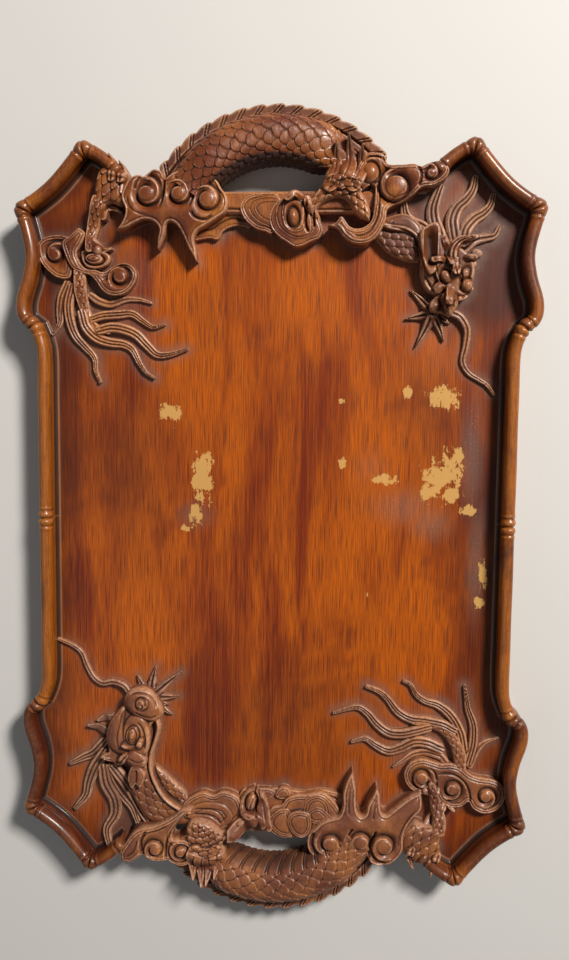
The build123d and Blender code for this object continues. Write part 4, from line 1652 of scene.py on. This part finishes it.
# ------------------------------------------------------------------------------ rail, bow and fin
@dataclass
class EndRail(Motif):
    """Straight wall between the ears; clouds and shells hide much of it."""

    node: str = "end_rail"
    reach: tuple[float, float] = (-106.0, 80.0)

    def cuts(self) -> list[Cut]:
        """A long bar with a bead line."""
        low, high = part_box("rear_end_rail")
        front, back = low.y / MM, high.y / MM
        left, right = self.reach
        corners = [(left, front - 3), (right, front - 3), (right, back + 1), (left, back + 1)]
        height = 11.5 if self.end is End.REAR else 8.0
        return [
            Plate([c for c in corners for _ in (0, 1)], height, 4.5, 0.5),
            Groove([(left, front), (-40, front + 0.3), (0, front - 0.2), (right, front)], 0.8, 1.4),
            Groove([(left, back - 2.5), (-40, back - 2), (0, back - 2.4),
                    (right, back - 2.2)], 0.5, 0.5),
        ]


@dataclass
class DragonBow:
    """The dragon's arched body, which is the hand hold."""

    end: End
    centre_y: float = 205.5
    radius: float = 82.0
    half_width: float = 18.4
    half_height: float = 15.4
    centre_z: float = 21.0
    start: float = 34.0                    # angle from +X
    stop: float = 147.0
    girth: float = 2 * math.pi * 16.4      # length round the section
    scale_mm: float = 7.7
    row_share: float = 0.8                 # spacing of the rows over a scale's length
    belly_mm: float = 12.0                 # length of a belly plate
    relief_mm: float = 2.3

    @property
    def length(self) -> float:
        """Length along the bow."""
        return math.radians(self.stop - self.start) * self.radius

    def section(self, around: np.ndarray) -> tuple[np.ndarray, np.ndarray]:
        """Outward and upward offsets, 0..1 around: round above, nearly upright sides below."""
        a = 2 * np.pi * around
        c, s = np.cos(a), np.sin(a)
        power = np.where(s < 0, 0.42, 0.8)
        return np.sign(c) * np.abs(c) ** power, np.sign(s) * np.abs(s) ** power

    def skin(self, t: np.ndarray, around: np.ndarray) -> np.ndarray:
        """Bends and carves the bow's skin.

        Scales cover it; at the front, slanting plates cross the belly on its outer side.

        Args:
            t: place along the bow, 0 to 1.
            around: place round its section, 0 to 1.

        Returns:
            Points, N by 3.
        """
        rear = self.end is End.REAR
        angle = np.radians(taper((self.start, self.stop), t))
        slim = 1 - 0.36 * ease((0.3 - t) / 0.16) - 0.2 * ease((t - 0.8) / 0.2)
        out, up = self.section(around)
        along = t * self.length
        rows = along / (self.scale_mm * self.row_share) + 0.12 * np.sin(9 * angle) * self.end.sign
        scales_round = round(self.girth / self.scale_mm)      # a whole number, so the seam closes
        lift = scale_height(rows, around * scales_round, 0.4, 1.8 if rear else 1.3)
        if not rear:
            belly = ease((0.25 * up - out - 0.72) / 0.12)
            slant = (along / self.belly_mm + 0.55 * up) % 1
            plates = slant**0.7 - 0.5 * bell((slant - 0.82) / 0.05)
            lift = lift * (1 - belly) + 0.8 * plates * belly
        lift = (lift - 0.9) * self.relief_mm
        r = self.radius + out * (self.half_width * slim + lift)
        z = self.centre_z - 2.5 * (1 - slim) + up * (self.half_height * slim + lift)
        y = self.centre_y + self.end.further + r * np.sin(angle)
        return np.stack([r * np.cos(angle), y, z], 1)

    def build(self, material: bpy.types.Material) -> bpy.types.Object:
        """Bends a grid to the bow, closes it and dresses it, with painted shade on its inner side."""
        name = f"{self.end.label}_dragon_body"
        bm, unit = unit_grid(int(self.length / PITCH), int(self.girth / PITCH))
        obj = wrap_sheet(f"{name}_carving", bm, self.skin(*unit.T), self.end.sign)
        edge, cavity = surface_shape(obj)
        x, y, _ = (vertex_values(obj, "co") / MM).T
        # painted shade: the bow's inner side, towards the opening, is darkened through the cavity mark,
        # fully at the rear and half at the front, and loses its pale edges
        away = np.hypot(x, y * self.end.sign - self.centre_y - self.end.further)
        inner = ease((self.radius - 10 - away) / 4)
        dark = (1.0 if self.end is End.REAR else 0.5) * inner
        film = np.full(len(edge), self.end.film)
        set_marks(obj, edge * (1 - inner), np.maximum(cavity, dark), film)
        return finish_mesh(obj, material, name)


@dataclass
class BackFin(Motif):
    """Stepped fin along the outer side of the bow, with paired slanting cuts."""

    node: str = "back_fin"
    centre_y: float = 205.0
    root: float = 94.0
    ditch: float = 99.6                    # radius of the groove that sets it off from the back
    tip: float = 108.5
    first: float = 40.0
    last: float = 148.0
    teeth: int = 14
    base: float = 15.0
    stain: float = 0.42

    def at(self, radius: float, angle: float) -> Point:
        """A point of the fin in plan."""
        a = math.radians(angle)
        return radius * math.cos(a), self.centre_y + self.end.further + radius * math.sin(a)

    def arc(self, radius: float, start: float, stop: float, runs: int = 16) -> list[Point]:
        """Points along an arc of the fin."""
        return [self.at(radius, start + (stop - start) * i / runs) for i in range(runs + 1)]

    def cuts(self) -> list[Cut]:
        """Stepped band with slanting cuts."""
        step = (self.last - self.first) / self.teeth
        bite = 1.8 if self.end is End.REAR else 3.0
        edge: list[Point] = []
        slants: list[Cut] = []
        for i in range(self.teeth):
            a = self.first + i * step
            edge += [self.at(self.tip - bite, a)] * 2 + [self.at(self.tip, a + 0.2 * step)] * 2
            edge.append(self.at(self.tip - 0.3 * bite, a + 0.65 * step))
            for back in (0.0, 1.5):
                slants.append(Groove([self.at(self.root + 4, a + 0.75 * step + back),
                                      self.at(self.tip - 1, a + 0.1 * step + back)], 0.5, 1.4))
        inner = self.arc(self.root, self.last, self.first)
        ditch = self.arc(self.ditch, self.first, self.last)
        return [Plate(edge + inner, 10.5, 1.6, 0.85), *slants, Groove(ditch, 0.8, 3.0, fade=0.02)]


# ------------------------------------------------------------------------------ rim
class Corner(Enum):
    """The rim's four corners, as signs on x and y."""

    RIGHT_REAR = (1, 1)
    LEFT_REAR = (-1, 1)
    RIGHT_FRONT = (1, -1)
    LEFT_FRONT = (-1, -1)


@dataclass
class Rim:
    """The bamboo-form rim: four rails in each corner, meeting at carved knuckles."""

    spans: dict[str, list[Point]] = field(default_factory=lambda: {
        "side_rail": [(178.5, 0), (178.5, 30), (178.5, 62), (178.5, 94), (178.5, 125), (180.5, 138),
                      (185, 149)],
        "waist_rail": [(185, 149), (193, 156), (194, 168), (188.5, 187), (187, 206), (194, 236)],
        "ear_rail": [(194, 236), (177, 247.5), (164.5, 259), (146, 281)],
        "throat_rail": [(146, 281), (136, 276.5), (127, 270), (118.5, 262)],
    })
    half: float = 4.9
    wall_half: float = 4.1
    bar_height: float = 10.5
    round_mm: float = 5.6                  # height of the bar's round top
    undercut: float = 0.35                 # radians that the round top runs past level
    foot: float = 3.4                      # reach of the cove at the foot of the inner wall
    mitre_reach: float = 5.0
    overshoot: float = 1.4                 # most that a knuckle stands over the rim's top
    cells_round: int = 96
    pitch: float = PITCH * 1.25

    def profile(self) -> tuple[np.ndarray, np.ndarray]:
        """Section of a rail, from its inner foot over the top to its outer foot and back.

        Returns:
            Offsets outwards and heights, evenly spaced along the section.
        """
        wall = self.wall_half
        inner = [(-wall - self.foot, BOARD_TOP), (-wall - 1.1, BOARD_TOP + 0.7),
                 (-wall, BOARD_TOP + 2.6), (-wall, RIM_TOP - self.bar_height)]
        top = [(-self.half * math.cos(a), RIM_TOP - self.round_mm * (1 - math.sin(a)))
               for a in np.linspace(-self.undercut, math.pi + self.undercut, 15)]
        outer = [(wall, RIM_TOP - self.bar_height), (wall, 1.2), (wall - 1, 0.0), (-wall, 0.0),
                 (-wall, 3.8), (-2.0, 4.2), (-2.0, BOARD_TOP - 0.1)]
        points = np.array(inner + top + outer + inner[:1])
        along = lengths_along(points)
        at = np.linspace(0, along[-1], self.cells_round + 1)
        return np.interp(at, along, points[:, 0]), np.interp(at, along, points[:, 1])

    def frame_line(self, name: str) -> tuple[np.ndarray, np.ndarray, np.ndarray]:
        """Centre line of a rail with its outward directions, mitred at the ends.

        Args:
            name: the rail.

        Returns:
            Points, outward vectors, and the distance from the nearer end.
        """
        names = list(self.spans)
        index = names.index(name)
        line = smooth_line(self.spans[name], step=self.pitch)
        way = np.gradient(line, axis=0)
        way /= np.hypot(way[:, 0], way[:, 1])[:, None]
        out = np.stack([way[:, 1], -way[:, 0]], 1)
        for at, other, last in ((0, index - 1, True), (-1, index + 1, False)):
            if 0 <= other < len(names):
                near = smooth_line(self.spans[names[other]], step=self.pitch)
                run = near[-1] - near[-2] if last else near[1] - near[0]
                run = run / np.hypot(*run)
                mean = out[at] + np.array([run[1], -run[0]])
                mean /= np.hypot(*mean)
                mitre = mean / (mean @ out[at])
                gap = np.hypot(*(line - line[at]).T)
                weight = np.clip(1 - gap / self.mitre_reach, 0, 1)[:, None]
                out = out * (1 - weight) + mitre * weight
            elif last:
                out[0] = (1.0, 0.0)        # the side rails meet square at the tray's middle
        length = lengths_along(line)
        return line, out, np.minimum(length, length[-1] - length)

    def build_rail(self, name: str, corner: Corner, material: bpy.types.Material) -> bpy.types.Object:
        """Bends a grid to a rail, shapes its knuckles and closes its ends."""
        line, out, gap = self.frame_line(name)
        offset, height = self.profile()
        bm, unit = unit_grid(len(line) - 1, self.cells_round)
        i, k = np.rint(unit * (len(line) - 1, self.cells_round)).astype(int).T
        gap, height = gap[i], height[k]
        swell = 0.17 * bell((gap - 2.8) / 2.2) + 0.07 * bell((gap - 8) / 1.3)
        notch = 0.22 * bell(gap / 0.8) + 0.08 * bell((gap - 6.2) / 0.6)
        wave = 0.02 * np.sin(line[i, 0] * 0.13 + line[i, 1] * 0.09)
        upper = ease((height - (RIM_TOP - 14)) / 6)
        size = 1 + upper * (swell - notch + wave)
        place = (line[i] + out[i] * (offset[k] * size)[:, None]) * corner.value
        lift = upper * (swell - notch) * 6.0 * ease((height - RIM_TOP + 6) / 6)
        z = np.minimum(height + lift, RIM_TOP + self.overshoot)
        node = f"{corner.name.lower()}_{name}"
        obj = wrap_sheet(f"{node}_cane", bm, np.column_stack([place, z]))
        edge, cavity = surface_shape(obj)
        z = vertex_values(obj, "co")[:, 2] / MM
        dust = 0.55 * np.exp(-np.abs(z - BOARD_TOP) / 2.2)
        worn = np.full(len(z), 1.0 if name == "side_rail" else 0.0)
        set_marks(obj, edge * 0.7, cavity, dust, worn)
        return finish_mesh(obj, material, node)

    def build(self, material: bpy.types.Material) -> None:
        """Builds all sixteen rails."""
        for corner in Corner:
            for name in self.spans:
                self.build_rail(name, corner, material)


# ------------------------------------------------------------------------------ floor board
@dataclass
class TrayBoard:
    """The recess floor, with dust round the carvings, rubbed spots, stains, and painted shade along the
    rim.
    """

    pitch: float = 2.0
    rail_half_length: float = 112.0
    rail_back: float = 249.0
    bare: Sequence[Spot] = (
        (-83, 83, 9, 9, 0.8), (-57, 32, 9, 22, 0.8), (-62, 4, 6, 9, 0.8), (-70, -8, 5, 4, 0.8),
        (129, 97, 14, 10, 0.8), (102, 100, 4, 6, 0.8), (85, 33, 11, 5, 0.8), (130, 38, 16, 16, 0.8),
        (118, 24, 5, 10, 0.8), (137, 22, 9, 8, 0.8), (149, 10, 8, 6, 0.8), (141, 52, 6, 7, 0.8),
        (51, 93, 4, 3, 0.8), (53, 45, 3, 6, 0.8), (163, -40, 4, 16, 0.8), (160, -62, 5, 5, 0.8),
        (74, -58, 2, 4, 0.8),
    )
    # dark spots: real stains, and painted shade in the rear ears and along the rim
    stains_and_shade: Sequence[Spot] = (
        (0, -190, 170, 80, 0.55), (-120, 20, 45, 120, 0.45), (130, 80, 45, 100, 0.5),
        (-55, 150, 18, 60, 0.35), (155, 195, 50, 60, 1.3), (-160, 200, 45, 55, 1.15),
        (131, 75, 14, 12, 0.6), (156, 0, 14, 90, 0.5), (-60, -150, 60, 40, 0.4),
    )
    hazes: Sequence[Spot] = (
        (98, 12, 34, 20, 0.75), (120, 0, 22, 18, 0.7), (152, 60, 12, 60, 0.8), (-62, 2, 22, 16, 0.6),
        (75, 42, 26, 22, 0.5), (158, -30, 10, 60, 0.7), (-110, 190, 26, 30, 0.7),
        (125, 140, 20, 40, 0.5),
    )
    # the dark border is partly stain and partly painted shade
    edge_stain_and_shade: float = 36.0               # reach of the dark border inside the rim

    def outline(self, rim: Rim) -> list[Point]:
        """Outline of the board, housed half way into the rim."""
        quarter = []
        for points in rim.spans.values():
            quarter += [tuple(p) for p in smooth_line(points, step=3.0)[:-1]]
        last = rim.spans["throat_rail"][-1]
        quarter += [last] * 2 + [(self.rail_half_length, self.rail_back)] * 2
        left = [(-x, y) for x, y in reversed(quarter)]
        lower = [(x, -y) for x, y in reversed(quarter + left)]
        return quarter + left + lower

    @staticmethod
    def spread(plan: np.ndarray, spots: Sequence[Spot], ground: np.ndarray,
               tight: float = 1.0) -> np.ndarray:
        """Raises values to the strongest of some soft spots.

        Args:
            plan: points, N by 2.
            spots: the spots.
            ground: the values without them.
            tight: how fast a spot fades from its middle.

        Returns:
            The values.
        """
        for x, y, half_x, half_y, strength in spots:
            far2 = ((plan[:, 0] - x) / half_x) ** 2 + ((plan[:, 1] - y) / half_y) ** 2
            ground = np.maximum(ground, strength * np.exp(-far2 * tight))
        return ground

    def build(self, rim: Rim, reliefs: Sequence[tuple[End, Relief]],
              material: bpy.types.Material) -> bpy.types.Object:
        """Cuts the board and marks its dust, rubbed spots, stains and painted shade.

        Args:
            rim: the rim that holds it.
            reliefs: the carvings on it, with their ends.
            material: the wood.

        Returns:
            The piece.
        """
        relief = Relief([Plate(self.outline(rim), 0.001, 1.0, 1.0)])
        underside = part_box("tray_board")[0].z / MM
        obj = Block("tray_board_floor", relief, End.REAR, underside, self.pitch).build()
        plan = vertex_values(obj, "co")[:, :2] / MM
        inside = relief.carve(plan)[1]
        near = np.full(len(plan), FAR)
        for end, motif in reliefs:
            near = np.minimum(near, -motif.carve(plan * end.sign, REACH)[1])
        dust = np.maximum(0.85 * np.exp(-(np.clip(near, 0, None) / 7.0) ** 1.2),
                          0.6 * np.exp(-np.clip(inside - 6.5, 0, None) / 4.0))
        # painted shade, with stain: the board darkens towards the rim
        stain = 0.85 * np.exp(-(np.clip(inside, 0, None) / self.edge_stain_and_shade) ** 1.5)
        nothing = np.zeros(len(plan))
        set_marks(obj, self.spread(plan, self.stains_and_shade, stain), nothing,
                  self.spread(plan, self.hazes, dust), self.spread(plan, self.bare, nothing, 0.62))
        return finish_mesh(obj, material, "tray_board")


# ------------------------------------------------------------------------------ studio
@dataclass
class Lamp:
    """A soft area light aimed at the tray; distances in metres."""

    name: str
    way: tuple[float, float, float]
    distance: float
    size: float
    watts: float
    colour: tuple[float, float, float]

    def build(self) -> None:
        """Places the light."""
        data = bpy.data.lights.new(self.name, "AREA")
        data.size, data.energy, data.color = self.size, self.watts, self.colour
        lamp = bpy.data.objects.new(self.name, data)
        lamp.location = Vector(self.way).normalized() * self.distance
        lamp.rotation_euler = (-lamp.location).to_track_quat("-Z", "Y").to_euler()
        bpy.context.scene.collection.objects.link(lamp)


@dataclass
class Studio:
    """Pale floor, soft lights and the camera that looks down into the tray."""

    camera_mm: tuple[float, float, float] = (49.4, 90.4, 642.3)      # over the rim's top
    tilt: tuple[float, float, float] = (5.09, -3.60, -0.93)          # degrees about x, y, z
    lens_mm: float = 31.875
    lamps: Sequence[Lamp] = (
        Lamp("key", (0.66, 0.72, 0.92), 2.4, 0.44, 84.0, (1.0, 0.95, 0.88)),
        Lamp("fill", (-0.9, -0.5, 1.4), 1.7378, 1.4, 2.2, (0.93, 0.96, 1.0)),
    )
    sky: float = 0.12
    sky_colour: tuple[float, float, float, float] = (1.0, 0.98, 0.96, 1.0)
    paper: str = "#C9C8C6"
    paper_half: float = 3.0                # half the floor's side, in metres

    def build_floor(self) -> None:
        """Lays the paper that the tray lies on."""
        bm, _ = unit_grid(1, 1)
        bmesh.ops.scale(bm, vec=(self.paper_half,) * 3, verts=bm.verts)
        floor = link_mesh("studio_floor", bm)
        floor.data.materials.append(Shader("studio_paper").surface(linear(self.paper), 0.9))

    def build_sky(self) -> None:
        """Lights the scene faintly from all round."""
        world = bpy.data.worlds.new("studio")
        world.use_nodes = True
        background = world.node_tree.nodes["Background"]
        background.inputs[0].default_value = self.sky_colour
        background.inputs[1].default_value = self.sky
        bpy.context.scene.world = world

    def build_camera(self) -> None:
        """Places the camera and makes it the scene's."""
        data = bpy.data.cameras.new("view")
        data.lens = self.lens_mm
        data.clip_start = 0.01
        camera = bpy.data.objects.new("view", data)
        rx, ry, rz = (math.radians(-a) for a in self.tilt)
        turn = Matrix.Rotation(rx, 4, "X") @ Matrix.Rotation(ry, 4, "Y") @ Matrix.Rotation(rz, 4, "Z")
        place = Vector(self.camera_mm) + Vector((0, 0, RIM_TOP))
        camera.matrix_world = Matrix.Translation(place * MM) @ turn
        bpy.context.scene.collection.objects.link(camera)
        bpy.context.scene.camera = camera
        bpy.context.scene.view_settings.view_transform = "Standard"

    def build(self) -> None:
        """Places everything."""
        self.build_floor()
        self.build_sky()
        for lamp in self.lamps:
            lamp.build()
        self.build_camera()


# ------------------------------------------------------------------------------ assembly
def end_motifs(end: End) -> list[Motif]:
    """The motifs of one end, each with its own small shift of a hand-carved piece."""
    rear = end is End.REAR
    return [
        RuyiCloud(end, shift=(0, 0) if rear else (0, -4)),
        WaveBand(end, shift=(0, 2) if rear else (0, 3)),
        ShellCloud(end, shift=(-0.4, 1.2) if rear else (0.3, 2)),
        Paw(end, shift=(0, 0.6) if rear else (0, 0.5)),
        Foreleg(end, shift=(0, 0) if rear else (0, -0.5)),
        SideCloud(end, shift=(-0.5, -2) if rear else (-2, -5)),
        Neck(end, shift=(0, -0.5) if rear else (-0.5, -1.5), stain=0.4 if rear else 0.25),
        DragonHead(end, shift=(-0.5, -0.7) if rear else (-0.5, -1.5), stain=0.36 if rear else 0.0),
        Mane(end, shift=(0.8, 1.5) if rear else (1.5, 2.5), stain=0.3, film=0.6),
        Whiskers(end, shift=(0.5, 0.5) if rear else (1.5, 2)),
        BeardFlame(end, shift=(0.5, 0.5) if rear else (1, 1.5)),
        Haunch(end),
        TailLeg(end),
        TailCloud(end),
        TailTip(end),
        TailTufts(end, shift=(-1.5, 0.5) if rear else (-0.5, 2)),
        EndRail(end),
        BackFin(end),
    ]


def main() -> None:
    """Builds and dresses the tray, then sets the studio round it."""
    logging.basicConfig(level=logging.INFO, format="%(name)s %(message)s")
    carved = CarvedRosewood().build()
    rim_wood = BambooRimPolish().build()
    reliefs = []
    for end in End:
        for motif in end_motifs(end):
            motif.build(carved)
            reliefs.append((end, motif.relief()))
        DragonBow(end).build(carved)
    rim = Rim()
    rim.build(rim_wood)
    TrayBoard().build(rim, reliefs, FloorBoard().build())
    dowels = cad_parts["rim_dowels"]
    dowels.data.materials.clear()
    dowels.data.materials.append(PlainDowel().build())
    Studio().build()


if __name__ == "__main__":
    main()
